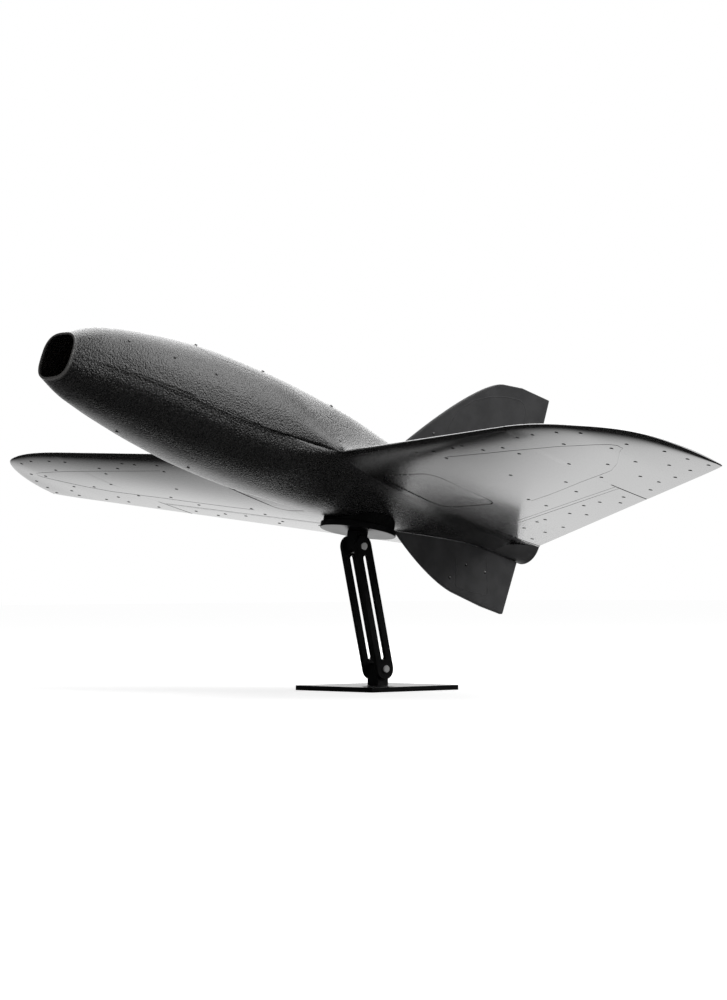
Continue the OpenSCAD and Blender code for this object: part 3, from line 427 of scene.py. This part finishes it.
def meanZ(x, y):
    # Middle of the wing's thickness: it falls towards the tips and, by the share of the chord, to the front
    s = np.clip((leRun(y) - x) / (leRun(y) - teX(y)), 0, 1)
    fade = 1 - smooth(np.abs(y), wing["half"] - wing["dropFade"], wing["half"])
    return wing["z"] - wing["anhedral"] * np.abs(y) - wing["leDrop"] * (1 - s) * fade


def halfT(x, y):
    # Half thickness of the wing: a four-digit section on a blunt trailing edge, thinner towards the tip
    y, tip = np.abs(y), wing["half"]
    s = np.clip((leX(y) - x) / np.maximum(leX(y) - teX(y), 0.01), 0, 1)
    t = np.where(y < wing["midY"], mix(wing["rootT"], wing["midT"], unit(y, wing["rootY"], wing["midY"])),
                 mix(wing["midT"], wing["tipT"], unit(y, wing["midY"], tip - wing["tipFlat"])))
    section = 5 * (0.2969 * np.sqrt(s) - 0.126 * s - 0.3516 * s ** 2 + 0.2843 * s ** 3 - 0.1015 * s ** 4)
    fade = np.sqrt(1 - 0.96 * unit(y, tip - wing["tipRound"] / 4, tip) ** 2)
    return (t * section + wing["edge"] / 2 * s) * fade


def skinZ(x, y, s):
    return meanZ(x, y) + s * halfT(x, y)


def seamZ(x):
    # Height of the line where the body's two shells meet: the drawn line in front, the wing's middle behind
    back = mix(meanZ(x, wing["rootY"]), seam["z"], smooth(x, seam["start"] - seam["blend"], seam["start"]))
    return np.where(x >= seam["start"], frontSeam(x), back)


def edgeZ(x, s):
    # A shell's edge stands off the seam by the wing root's half thickness, or a little in front of the wing
    return seamZ(x) + s * np.maximum(seam["edge"], np.where(x > wing["rootLe"], 0, halfT(x, wing["rootY"])))


def riseAt(x):
    return seam["rise"] * smooth(-x, *seam["riseFrom"])


def gullZ(x, y, s):
    # Rear half of the body: a hump exp(-(y / b)^2.6) that runs out into the wing roots
    b, share = sideLine(x), np.abs(y) / wing["rootY"]
    low = np.exp(-(wing["rootY"] / b) ** body["hump"])
    hump = (np.exp(-(np.abs(y) / b) ** body["hump"]) - low) / (1 - low)
    z1, z0 = edgeZ(x, s), (topLine(x) if s > 0 else lowLine(x))
    # The wing's blunt leading edge fades out away from the root
    blunt = smooth(-x, -wing["rootLe"], body["edgeFade"] - wing["rootLe"])
    z1 = mix(mix(seamZ(x), z1, blunt), z1, share ** 6)
    return z1 + riseAt(x) * (1 - share) - (z1 + riseAt(x) - z0) * hump


def eggPoint(a, n, wide, mid, high):
    # Superellipse: width cos(a)^(2/n) and height sin(a)^(2/n)
    return wide * np.maximum(np.cos(a), 0) ** (2 / n), mid + high * np.sign(np.sin(a)) * np.abs(np.sin(a)) ** (2 / n)


def shellOut(x, t, s):
    # Half section of a shell; t runs from the middle line (0) to the seam (1). The front is a superellipse,
    # the rear the gull shape, and between them a fifth-power blend m. flare pulls the seam out to the wing
    n = mix(*body["egg"], smooth(x, body["eggFrom"], body["nose"]))
    mid, h = (topLine(x) + lowLine(x)) / 2, (topLine(x) - lowLine(x)) / 2
    q = (seamZ(x) - mid) / h
    k = np.sign(q) * np.arcsin(np.minimum(1, np.abs(q) ** (n / 2)))
    eggY, eggZ = eggPoint(mix(s * math.pi / 2, k, t), n, sideLine(x), mid, h)
    gullY = wing["rootY"] * t * (1.5 - 0.5 * t)
    u = unit(x, *body["blend"])
    m = 1 - u ** 3 * (10 - 15 * u + 6 * u * u)
    v = np.clip((x - wing["rootLe"]) / body["flare"], 0, 1)
    flare = 1 - np.sqrt(1 - (1 - v) ** 2)
    y0 = sideLine(x) * np.cos(k) ** (2 / n)
    pull = mix(y0, wing["rootY"], flare) / mix(y0, wing["rootY"], m)
    z = mix(mix(eggZ, gullZ(x, gullY, s), m), edgeZ(x, s), smooth(t, 0.85, 1))
    return mix(eggY, gullY, m) * (1 + (pull - 1) * t ** 7), z


def shellIn(x, t, s):
    # The cavity: the same superellipse one wall further in, and round the tail's spigot at the rear
    wall = mix(body["wall"], body["noseWall"], smooth(x, body["thin"], body["nose"]))
    rear, widen = x < body["cavityEnd"], smooth(x, *body["widen"])
    w = np.where(rear, body["bore"], sideLine(x) * mix(body["narrow"], 1, widen) - wall * widen)
    high = np.where(rear, tailAxis(x) + body["bore"], topLine(x) - wall)
    low = np.where(rear, tailAxis(x) - body["bore"], lowLine(x) + wall)
    mid, h = (high + low) / 2, (high - low) / 2
    n = mix(*body["cavityEgg"], smooth(x, body["eggFrom"], body["nose"]))
    k = 0
    for _ in range(4):
        # The seam rises towards the middle, so its height and the cavity's width there are found in turn
        q = np.clip((seamZ(x) + riseAt(x) * (1 - w * np.cos(k) / wing["rootY"]) - mid) / h, -1, 1)
        k = np.sign(q) * np.arcsin(np.abs(q) ** (n / 2))
    return eggPoint(mix(s * math.pi / 2, k, t), n, w, mid, h)


def lidEdge(x, gap):
    # Half width of the hatch in t, with rounded corners: the arc's sagitta over half the girth
    (x0, x1), r = body["hatch"], body["hatchR"] - gap
    d = np.minimum(np.maximum(np.minimum(x - x0, x1 - x) - gap, 0), r)
    return body["hatchT"] - (gap + r - np.sqrt(r * r - (r - d) ** 2)) / body["girth"]


def columns(x, count, s):
    # Columns from the middle line to the seam, bunched so that one of them follows the hatch's edge
    k = np.arange(count + 1)
    if s < 0:
        return np.broadcast_to(k / count, (len(x), count + 1))
    (x0, x1), cut = body["hatch"], body["cut"]
    away = smooth(np.maximum(x0 - x, x - x1), 0, 40)
    edge = mix(lidEdge(x, 0), cut / body["ring"], away)[:, None] * body["ring"] / count
    return np.where(k <= cut, k / cut * edge, mix(edge, 1, (k - cut) / (count - cut)))


# Place of the airframe on its stand: it turns about the upper pivot, in the part's frame and in its own
stance = {"pitch": math.radians(20), "pivot": (20.1394, 0.0, 105.8692), "pivotAir": (-0.9, 0.0, -28.0484)}


def toWorld(points):
    # Metres in the part's frame
    c, s = math.cos(stance["pitch"]), math.sin(stance["pitch"])
    turned = (np.asarray(points, float) - stance["pivotAir"]) @ np.array(((c, 0, -s), (0, 1, 0), (s, 0, c))).T
    return (stance["pivot"] + turned) / 1000


def addBevel(piece, width, sharp):
    edge = piece.modifiers.new("edge", "BEVEL")
    edge.width, edge.segments, edge.limit_method = width / 1000, 2, "ANGLE"
    edge.angle_limit, edge.harden_normals = math.radians(sharp), True


def markSharp(bm, sharp):
    for e in bm.edges:
        e.smooth = not (e.is_manifold and e.calc_face_angle(0) > math.radians(sharp))


def makePiece(name, points, faces, rides, stands=(), slot=None, bevel=0.0, sharp=32, world=False, paint=None):
    # points in airframe millimetres unless world; faces of any length; normals are turned outward
    mesh = bpy.data.meshes.new(name)
    places = np.asarray(points) if world else toWorld(points)
    mesh.from_pydata(places.tolist(), [], [list(f) for f in faces])
    bm = bmesh.new()
    bm.from_mesh(mesh)
    bmesh.ops.remove_doubles(bm, verts=bm.verts, dist=2e-6)
    bmesh.ops.recalc_face_normals(bm, faces=bm.faces)
    if bm.calc_volume(signed=True) < 0:
        bmesh.ops.reverse_faces(bm, faces=bm.faces)
    for f in bm.faces:
        f.smooth = True
    markSharp(bm, sharp)
    bm.to_mesh(mesh)
    bm.free()
    piece = bpy.data.objects.new(name, mesh)
    scene.collection.objects.link(piece)
    if bevel:
        addBevel(piece, bevel, sharp)
    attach(piece, rides)
    if stands:
        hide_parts(*stands)
    if slot:
        dress(piece, paints[paint or slot])
    return piece


def ringQuads(rows, count, closed=False):
    # Quads between the neighbouring rings of a grid; closed joins the last ring to the first too
    i, j = np.meshgrid(np.arange(rows if closed else rows - 1), np.arange(count), indexing="ij")
    i2, k = (i + 1) % rows, (j + 1) % count
    return np.stack([i * count + j, i * count + k, i2 * count + k, i2 * count + j], -1).reshape(-1, 4)


def skinFaces(keep):
    # Quads of a skin between an outer grid and an inner one that follows it; keep says which cells exist
    nx, ny = keep.shape[0] + 1, keep.shape[1] + 1
    o = np.arange(nx * ny).reshape(nx, ny)
    a, b, c, d = o[:-1, :-1], o[1:, :-1], o[1:, 1:], o[:-1, 1:]
    n, wider = nx * ny, np.pad(keep, 1)
    quads = [(keep, (a, b, c, d)), (keep, (d + n, c + n, b + n, a + n)),
             (keep & ~wider[:-2, 1:-1], (d, d + n, a + n, a)), (keep & ~wider[2:, 1:-1], (b, b + n, c + n, c)),
             (keep & ~wider[1:-1, :-2], (a, a + n, b + n, b)), (keep & ~wider[1:-1, 2:], (c, c + n, d + n, d))]
    return np.concatenate([np.stack([q[mask] for q in corners], -1) for mask, corners in quads])


def makeSkin(name, out, inner, keep, **rest):
    used = skinFaces(keep)
    points = np.concatenate([out.reshape(-1, 3), inner.reshape(-1, 3)])
    index, back = np.unique(used, return_inverse=True)
    return makePiece(name, points[index], back.reshape(used.shape), **rest)


def makeLoft(name, loops, mirror=1, **rest):
    # Closed loops of equal length joined in a row, with flat ends
    loops = np.array(loops, float) * (1, mirror, 1)
    m, n = loops.shape[:2]
    faces = [*ringQuads(m, n).tolist(), list(range(n)), list(range((m - 1) * n, m * n))]
    return makePiece(name, loops.reshape(-1, 3), faces, **rest)


def bodyStations():
    # Columns of points every 3 to 5 mm, closer round the hatch's corners and where the wing root flares out
    (x0, x1), r = body["hatch"], body["hatchR"]
    corner = r * (1 - np.cos(np.linspace(0, math.pi / 2, 13)))
    runs = ((rootTe, -112, 5), (-112, -98.5, 5), (-98.5, -97.5, 2), (-97.5, x0, 40), (x0 + r, 60, 13),
            (60, 76.4, 12), (76.4, 77.6, 4), (77.6, 84, 9), (84, 112, 15), (112, x1 - r, 28), (x1, 272, 25),
            (272, 291, 9), (291, 297, 5))
    return np.unique(np.concatenate([np.linspace(*run) for run in runs] + [x0 + corner, x1 - corner]).round(4))


def squareEnd(grid):
    # The body's rear end leans by its height over the tail's axis, so that it is square to it
    x, y, z = np.moveaxis(grid, -1, 0)
    return np.stack([np.where(x > rootTe, x, x + (z - tailAxis(x)) * tail["drop"]), y, z], -1)


def shellGrid(x, half, s, inside):
    # half holds t for the columns of one side, station by station
    t = np.concatenate([-half[:, :0:-1], half], 1)
    along = np.broadcast_to(x[:, None], t.shape)
    y, z = (shellIn if inside else shellOut)(along, np.abs(t), s)
    return np.stack([along, np.sign(t) * y, z], -1)


def makeShell(name, s, stands):
    x, ring, cut = bodyStations(), body["ring"], body["cut"]
    half = columns(x, ring, s)
    out = shellGrid(x, np.concatenate([half, half[:, -1:]], 1), s, False)
    out[:, (0, -1), 2] = seamZ(x)[:, None]
    # A fine groove along the seam, from the middle of the body to the wing
    groove = seam["groove"] * smooth(x, 80, 92) * (1 - smooth(x, 120, 190))
    out[:, 0, 1] += groove
    out[:, -1, 1] -= groove
    inner = shellGrid(x, columns(x, ring + 1, s), s, True)
    keep = np.ones((len(x) - 1, 2 * ring + 2), bool)
    if s > 0:
        midX = (x[1:] + x[:-1]) / 2
        keep[(midX > body["hatch"][0]) & (midX < body["hatch"][1]), ring + 1 - cut:ring + 1 + cut] = False
    makeSkin(name, squareEnd(out), squareEnd(inner), keep, rides="airframe", stands=[stands], slot="foam_black",
             bevel=0.5, sharp=38)


def makeHatch():
    (x0, x1), gap, cut = body["hatch"], body["gap"], body["cut"]
    x = bodyStations()
    x = np.concatenate([[x0 + gap], x[(x > x0 + gap + 0.1) & (x < x1 - gap - 0.1)], [x1 - gap]])
    grids = []
    for count in (body["ring"], body["ring"] + 1):
        half = np.arange(cut + 1) / cut * lidEdge(x, gap)[:, None] * body["ring"] / count
        grids.append(shellGrid(x, half, 1, count > body["ring"]))
    makeSkin("batteryHatch", *grids, np.ones((len(x) - 1, 2 * cut), bool), rides="battery_hatch",
             stands=["battery_hatch"], slot="foam_black", bevel=0.5, sharp=38)


makeShell("bodyLower", -1, "fuselage_lower")
makeShell("bodyUpper", 1, "fuselage_upper")
makeHatch()
print("body made")

# Outer wings and elevons; inner, outer, ahead and slotZ are the room at an elevon's ends
hinge = {"rootC": 46.5, "tipC": 28.0, "end": 250.0, "gap": 0.35, "bevel": math.tan(math.radians(30)),
         "inner": 1.5, "outer": 1.4, "ahead": 8.0, "slotZ": (3, 33)}


def hingeX(y):
    # Straight line between the elevon's chords at its two ends
    return mix(teX(wing["rootY"]) + hinge["rootC"], teX(hinge["end"]) + hinge["tipC"],
               (np.abs(y) - wing["rootY"]) / (hinge["end"] - wing["rootY"]))


hingeEnds = [skinZ(hingeX(y), y, -1) for y in (wing["rootY"], hinge["end"])]


def hingeZ(y):
    return mix(*hingeEnds, (y - wing["rootY"]) / (hinge["end"] - wing["rootY"]))


def chordwise(n, a, b):
    # Places from a to b, closer at both ends: (1 - cos) / 2
    return mix(a, b, (1 - np.cos(np.linspace(0, math.pi, n + 1))) / 2)


def wingLoop(y, cut, n=34):
    # Lower skin forward, upper skin back; cut ends it at the elevon's hinge with a bevelled face
    h = hingeX(y) + hinge["gap"] / 2
    lowEnd, topEnd = (h, h + 2 * halfT(h, y) * hinge["bevel"]) if cut else (teX(y), teX(y))
    low, up = chordwise(n, lowEnd, leX(y)), chordwise(n, leX(y), topEnd)
    zLow, zUp = skinZ(low, y, -1), skinZ(up, y, 1)
    if cut:
        zLow[0] = hingeZ(y)
    x = np.concatenate([low, up[1:]])
    return np.stack([x, np.full_like(x, y), np.concatenate([zLow, zUp[1:]])], -1)


def elevonLoop(y, n=16):
    h = hingeX(y) - hinge["gap"] / 2
    low, up = chordwise(n, teX(y), h), chordwise(n, h - halfT(h, y) * hinge["bevel"], teX(y))
    zLow = skinZ(low, y, -1)
    zLow[-1] = hingeZ(y)
    x = np.concatenate([low, up])
    return np.stack([x, np.full_like(x, y), np.concatenate([zLow, skinZ(up, y, 1)])], -1)


# Servo bay: boxes round the servo and its arm, on the servo's shaft, and the seat of the cover
servo = {"rodY": 115.0, "run": 62.0, "thick": 8.6, "seat": 2.6, "coverX": (-20.0, 47.0), "coverY": (62.5, 118.5),
         "coverR": 11.0, "coverT": 1.6, "slack": 0.75,
         "bays": (((-9.4, 19.4), (-21.6, 0), (-8.6, 4.4)), ((-12, 12), (-2.6, 4), (-8.6, 24)))}
turn = math.atan2(hingeX(hinge["end"]) - hingeX(wing["rootY"]), hinge["end"] - wing["rootY"])
shaftX = hingeX(servo["rodY"]) + servo["run"] * math.cos(turn)
shaftY = servo["rodY"] - servo["run"] * math.sin(turn)
shaftZ = skinZ(shaftX, shaftY, -1) + servo["thick"] / 2 + servo["seat"]


def coverOutline(grow):
    # Rounded rectangle, walked corner by corner
    (x0, x1), (y0, y1), r = servo["coverX"], servo["coverY"], servo["coverR"]
    centres = np.array(((x1 - r, y1 - r), (x0 + r, y1 - r), (x0 + r, y0 + r), (x1 - r, y0 + r)))
    a = np.linspace(0, math.pi / 2, 13) + np.array((0, 0.5, 1, -0.5))[:, None] * math.pi
    return (centres[:, None] + (r + grow) * np.stack([np.cos(a), np.sin(a)], -1)).reshape(-1, 2)


def bayCutters(mirror):
    solids = []
    for (x0, x1), (y0, y1), heights in servo["bays"]:
        x, y = np.array(((x0, y0), (x1, y0), (x1, y1), (x0, y1))).T
        acrossX, acrossY = x * math.cos(turn) + y * math.sin(turn), -x * math.sin(turn) + y * math.cos(turn)
        solids.append([np.stack([shaftX + acrossX, shaftY + acrossY, np.full(4, shaftZ + z)], -1) for z in heights])
    # Slot at the elevon's outer end
    y1, y0 = hinge["end"], hinge["end"] - hinge["outer"]
    x0, x1 = hingeX(y1) - 2, hingeX(y1) + hinge["ahead"]
    solids.append([((x0, y0, z), (x1, y0, z), (x1, y1, z), (x0, y1, z)) for z in hinge["slotZ"]])
    x, y = coverOutline(servo["slack"]).T
    solids.append([np.stack([x, y, skinZ(x, y, -1) + z], -1) for z in (-6, servo["coverT"] + 0.05)])
    return [makeLoft("cutter", loops, mirror, rides="airframe") for loops in solids]


def carve(piece, cutters, bevel):
    for cutter in cutters:
        cut = piece.modifiers.new("cut", "BOOLEAN")
        cut.object, cut.solver = cutter, "EXACT"
    mesh = bpy.data.meshes.new_from_object(piece.evaluated_get(bpy.context.evaluated_depsgraph_get()))
    piece.modifiers.clear()
    piece.data = mesh
    for cutter in cutters:
        bpy.data.objects.remove(cutter)
    addBevel(piece, bevel, 38)


def makeWings():
    end, tip = hinge["end"], wing["half"] - 0.05
    inner = np.linspace(wing["rootY"], end, 50)
    outer = mix(end + 0.05, tip, 1 - (1 - np.linspace(0, 1, 34)) ** 1.7)
    loops = [wingLoop(y, True) for y in inner] + [wingLoop(y, False) for y in outer]
    moving = [elevonLoop(y) for y in np.linspace(wing["rootY"] + hinge["inner"], end - hinge["outer"], 50)]
    for side, mirror in (("left", 1), ("right", -1)):
        panel = makeLoft("wing" + side.title(), loops, mirror, rides="airframe", stands=["wing_" + side],
                         slot="foam_black", sharp=38)
        carve(panel, bayCutters(mirror), 0.4)
        makeLoft("elevon" + side.title(), moving, mirror, rides="elevon_" + side, stands=["elevon_" + side],
                 slot="foam_black", bevel=0.3, sharp=38)


def makeCovers():
    # The outline drawn in to its centre ring by ring, on the wing's lower skin and one thickness above it
    outline = coverOutline(0)
    centre, scales = outline.mean(0), np.array((0.02, 0.25, 0.5, 0.72, 0.88, 0.96, 1))
    x, y = np.moveaxis(centre + (outline - centre) * scales[:, None, None], -1, 0)
    z = skinZ(x, y, -1)
    loops = np.concatenate([np.stack([x, y, z + servo["coverT"]], -1), np.stack([x, y, z], -1)[::-1]])
    for side, mirror in (("left", 1), ("right", -1)):
        makeLoft("servoCover" + side.title(), loops, mirror, rides="airframe", stands=["servo_cover_" + side],
                 slot="foam_black", bevel=0.45, sharp=38)


makeWings()
makeCovers()
print("wings made")


# Small domes left by the mould's vents, and fine raised lines, both laid on a skin given as point(a, b)
def onSkin(point, a, b, side, stepA=0.05, stepB=0.05):
    # Places and outward normals from the cross product of two short steps
    here = point(a, b)
    normal = np.cross(point(a + stepA, b) - here, point(a, b + stepB) - here)
    return here, normal * side / np.linalg.norm(normal, axis=-1, keepdims=True)


def makeDomes(name, places, normals, r, h, rides, count=12):
    # Each dome: radius r sin(q) and height h cos(q) in rings round its normal, on a short foot
    places, normals = np.asarray(places), np.asarray(normals)
    u = np.cross(normals, (0.3, 0.9, 0.1))
    u /= np.linalg.norm(u, axis=1, keepdims=True)
    v = np.cross(normals, u)
    q, a = np.radians((90, 90, 66, 42, 18)), np.arange(count) * 2 * math.pi / count
    reach, rise = r * np.sin(q), h * np.cos(q) - np.array((h, 0, 0, 0, 0))
    ring = np.cos(a)[:, None] * u[:, None, None] + np.sin(a)[:, None] * v[:, None, None]
    points = (places[:, None, None] + reach[:, None, None] * ring
              + rise[:, None, None] * normals[:, None, None])
    starts, caps = np.arange(len(places))[:, None, None] * 5 * count, np.array((0, 4 * count))[:, None]
    faces = [*(ringQuads(5, count) + starts).reshape(-1, 4).tolist(),
             *(np.arange(count) + caps + starts).reshape(-1, count).tolist()]
    makePiece(name, points.reshape(-1, 3), faces, rides, slot="foam_black", sharp=60)


def makeBead(name, runs, wide, high, rides, paint="foam_black"):
    # Each run is (places, normals): a flat arch is carried along it, from side to side 1 - c^2 high
    points, faces = [], []
    c = np.array((-1, -0.6, 0, 0.6, 1, 0.6, -0.6))
    rise = np.array((0, 0.64, 1, 0.64, 0, -0.5, -0.5)) * high
    for places, normals in runs:
        side = np.cross(np.gradient(places, axis=0), normals)
        side /= np.linalg.norm(side, axis=1, keepdims=True)
        grid = places[:, None] + c[:, None] * side[:, None] * wide / 2 + rise[:, None] * normals[:, None]
        m, n, start = len(places), len(c), len(points)
        faces += (ringQuads(m, n) + start).tolist()
        faces += [list(range(start, start + n)), list(range(start + (m - 1) * n, start + m * n))]
        points += grid.reshape(-1, 3).tolist()
    makePiece(name, points, faces, rides, slot="foam_black", sharp=60, paint=paint)


def path(corners, step=3.0):
    # Straight runs between the corners in short steps
    corners = np.array(corners, float)
    counts = [max(2, int(np.hypot(*(b - a)) / step)) for a, b in zip(corners[:-1], corners[1:])]
    runs = [mix(a, b, np.linspace(0, 1, k)[:-1, None]) for a, b, k in zip(corners[:-1], corners[1:], counts)]
    return np.concatenate(runs + [corners[-1:]])


# Vent marks on a wing's lower skin as (x, y), on its panel and elevon alike
vents = {"r": 1.4, "h": 0.42, "places": (
    (80, 136), (81, 154), (85, 177), (88, 189), (71, 157), (81, 203), (83, 224), (72, 229), (97, 251), (100, 268),
    (101, 291), (97, 309), (83, 281), (35, 185), (48, 253), (14, 218), (-7, 208), (70, 312), (42, 283), (18, 255),
    (73, 328), (43, 309), (14, 287), (55, 345), (31, 328), (39, 351), (18, 335), (25, 357), (7, 312), (0, 291),
    (-15, 270), (-26, 235), (-38, 221), (-33, 206), (-38, 186), (-59, 169), (-53, 158), (-84, 122), (-32, 155),
    (-16, 153), (-67, 112), (-63, 124), (-79, 87), (-93, 95), (-107, 68))}
panel = {"wide": 0.75, "high": 0.14, "aheadOfHinge": 3.4, "line": (
    (73, 160), (78, 228), (80, 272), (78.5, 306), (76.6, 316), (73.2, 320.4), (68.5, 320.2), (62.6, 313),
    (42, 292), (29.6, 275), (22, 256), (13, 233), (1.5, 206), (-10, 178), (-19, 153))}


def lowSkin(x, y):
    return np.stack([x, y, skinZ(x, y, -1)], -1)


def makeWingDetails():
    spots = np.array(vents["places"], float)
    moving = (spots[:, 0] < hingeX(spots[:, 1])) & (spots[:, 1] < hinge["end"])
    y = np.linspace(wing["rootY"] + 4, hinge["end"] - 3, 70)
    lines = (path(panel["line"]), np.stack([hingeX(y) + panel["aheadOfHinge"], y], -1))
    for side, mirror in (("left", 1), ("right", -1)):
        for name, mask, rides in (("wingVents", ~moving, "airframe"), ("elevonVents", moving, "elevon_" + side)):
            places, normals = (part * (1, mirror, 1) for part in onSkin(lowSkin, *spots[mask].T, -1))
            makeDomes(name + side.title(), places, normals, vents["r"], vents["h"], rides)
        runs = [[part * (1, mirror, 1) for part in onSkin(lowSkin, *line.T, -1)] for line in lines]
        makeBead("panelLines" + side.title(), runs, panel["wide"], panel["high"], "airframe")


def shellPoint(s):
    return lambda x, t: np.stack([x, *shellOut(x, t, s)], -1)


# Vent marks on the body as (x, t); those on the belly are on its far side only
bodyVents = {"r": 1.1, "h": 0.5, "upper": ((192, 0.7), (259.5, 0.56), (75.5, 0.713), (226, 0.66)),
             "lower": ((229, 0.06), (165, 0), (111, 0.18)), "hatch": ((200, 0.231), (141, 0.281), (67, 0.181))}


def makeBodyDetails():
    for name, s, rides in (("upper", 1, "airframe"), ("lower", -1, "airframe"), ("hatch", 1, "battery_hatch")):
        x, t = np.array(bodyVents[name]).T
        here, normal = onSkin(shellPoint(s), x, t, -s, 0.02, 0.0004)
        normal *= np.where((normal[:, 1:2] * here[:, 1:2]) < 0, -1, 1) if name == "upper" else 1
        both = [(here * (1, m, 1), normal * (1, m, 1)) for m in ((-1,) if name == "lower" else (1, -1))]
        places, normals = (np.concatenate(pair) for pair in zip(*both))
        makeDomes(name + "Vents", places, normals, bodyVents["r"], bodyVents["h"], rides)


makeWingDetails()
makeBodyDetails()
print("vent marks and panel lines made")

# Fins: flat mouldings with a chamfered edge. Each leading edge follows 1 - (1 - u)^n from its foot to a top
# corner, goes on through the points in tip, and the foot stands on the body from the front to x0
fin = {"t": 4.0, "gap": 0.2,
       "dorsal": {"front": -12.0, "top": (-100, 140.8), "n": 1.3, "tip": ((-120, 145.7), (-150, 147.6)), "x0": -152},
       "ventral": {"front": -33.0, "top": (-104, -27.3), "n": 1.6, "tip": ((-135, -27.3), (-157.5, -25.8)),
                   "x0": -158.8}}


def keelZ(x, s):
    # Top or bottom line of the body and, behind it, of the tail tube
    return np.where(x < rootTe, tailAxis(x) + s * tail["r"], topLine(x) if s > 0 else lowLine(x))


def makeFin(kind, s):
    f = fin[kind]
    u = np.linspace(0, 1, 25)[1:]
    rise = np.stack([mix(f["front"], f["top"][0], u),
                     mix(float(keelZ(f["front"], s)), f["top"][1], 1 - (1 - u) ** f["n"])], -1)
    foot = np.linspace(f["x0"], f["front"], 25)
    x, z = np.concatenate([rise, f["tip"], np.stack([foot, keelZ(foot, s) + s * fin["gap"]], -1)]).T
    loops = [np.stack([x, np.full_like(x, y), z], -1) for y in (-fin["t"] / 2, fin["t"] / 2)]
    makeLoft(kind + "Fin", loops, rides="airframe", stands=[kind + "_fin"], slot="foam_black", bevel=0.9,
             sharp=38, paint="fin")


# Raised outlines and vent marks on both sides of the fins, as (x, z)
finMarks = {"wide": 0.8, "high": 0.16, "r": 1.1, "h": 0.4,
            "lines": (((-57, 84), (-57, 89), (-59.5, 97), (-64.5, 107), (-74.8, 117.4), (-91, 127), (-106, 132.7),
                       (-118, 135.4), (-124, 134.8), (-128.4, 131), (-130, 123), (-131, 80)),
                      ((-96.8, -2.5), (-100, -10), (-103.5, -21.5), (-105, -22.4), (-120, -20.8), (-136, -18),
                       (-137.2, -16.8), (-127, 10))),
            "dots": ((-108.5, -3.5), (-129.1, -2), (-95.7, -18.1), (-62, 66), (-44, 78))}


def makeFinMarks():
    half, runs, places, normals = fin["t"] / 2, [], [], []
    for side in (1, -1):
        for line in finMarks["lines"]:
            x, z = path(line, 2.0).T
            runs.append((np.stack([x, np.full_like(x, side * half), z], -1), np.tile((0.0, side, 0.0), (len(x), 1))))
        places += [(x, side * half, z) for x, z in finMarks["dots"]]
        normals += [(0, side, 0)] * len(finMarks["dots"])
    makeBead("finOutlines", runs, finMarks["wide"], finMarks["high"], "airframe", "fin")
    makeDomes("finVents", places, normals, finMarks["r"], finMarks["h"], "airframe")


makeFin("dorsal", 1)
makeFin("ventral", -1)
makeFinMarks()


def makeTail(count=96):
    # Tube and spigot: a closed profile of (radius, distance ahead of the tail's end) turned about the tail's axis
    r, wall, spigot, step, plate = tail["r"], tail["wall"], tail["spigotR"], tail["step"], tail["plate"]
    k = math.hypot(1, tail["drop"])
    length = (tail["x"] + rootTe) * k - tail["clear"]
    far = length + tail["spigot"]
    profile = np.array(((r, plate), (r, length), (spigot, length), (spigot, far), (spigot - wall, far),
                        (spigot - wall, length - step), (r - wall, length - step), (r - wall, plate)))
    a = np.arange(count) * 2 * math.pi / count
    ahead, up = np.array((1, 0, -tail["drop"])) / k, np.array((tail["drop"], 0, 1)) / k
    spokes = np.cos(a)[:, None] * up + np.sin(a)[:, None] * np.array((0, 1, 0))
    start = np.array((-tail["x"], 0, tail["axisZ"]))
    rings = start + profile[:, 1, None, None] * ahead + profile[:, 0, None, None] * spokes
    makePiece("tailTube", rings.reshape(-1, 3), ringQuads(len(profile), count, True), "airframe", ["tail_tube"],
              "tail_plastic", 0.25, 30)


makeTail()
print("fins and tail made")

# Parts of the stand, and the tail's plate, keep their construction; merged copies get rounded edges
rounded = {"base_plate": ("stand_base", "stand_black", 0.35), "base_knuckle": ("stand_base", "stand_black", 0.3),
           "link_left": ("stand_arm", "stand_black", 0.3), "link_right": ("stand_arm", "stand_black", 0.3),
           "pivot_screws": ("stand_arm", "screw_steel", 0.35), "pivot_nuts": ("stand_arm", "screw_steel", 0.2),
           "top_knuckle": ("airframe", "stand_black", 0.3), "top_plate": ("airframe", "stand_black", 0.35),
           "motor_plate": ("airframe", "tail_plastic", 0.25)}


def makeRounded(node, rides, slot, bevel, sharp=30):
    source = frame["nodes"][node]
    mesh = source.data.copy()
    mesh.transform(source.matrix_world)
    points = [v.co[:] for v in mesh.vertices]
    faces = [p.vertices[:] for p in mesh.polygons]
    bpy.data.meshes.remove(mesh)
    first, *rest = node.split("_")
    piece = makePiece(first + "".join(w.title() for w in rest), points, faces, rides, [node], slot, world=True)
    flat = bmesh.new()
    flat.from_mesh(piece.data)
    bmesh.ops.dissolve_limit(flat, angle_limit=math.radians(0.5), verts=flat.verts, edges=flat.edges,
                             delimit={"NORMAL"})
    markSharp(flat, sharp)
    flat.to_mesh(piece.data)
    flat.free()
    addBevel(piece, bevel, sharp)


for node, finish in rounded.items():
    makeRounded(node, *finish)
print("stand made")
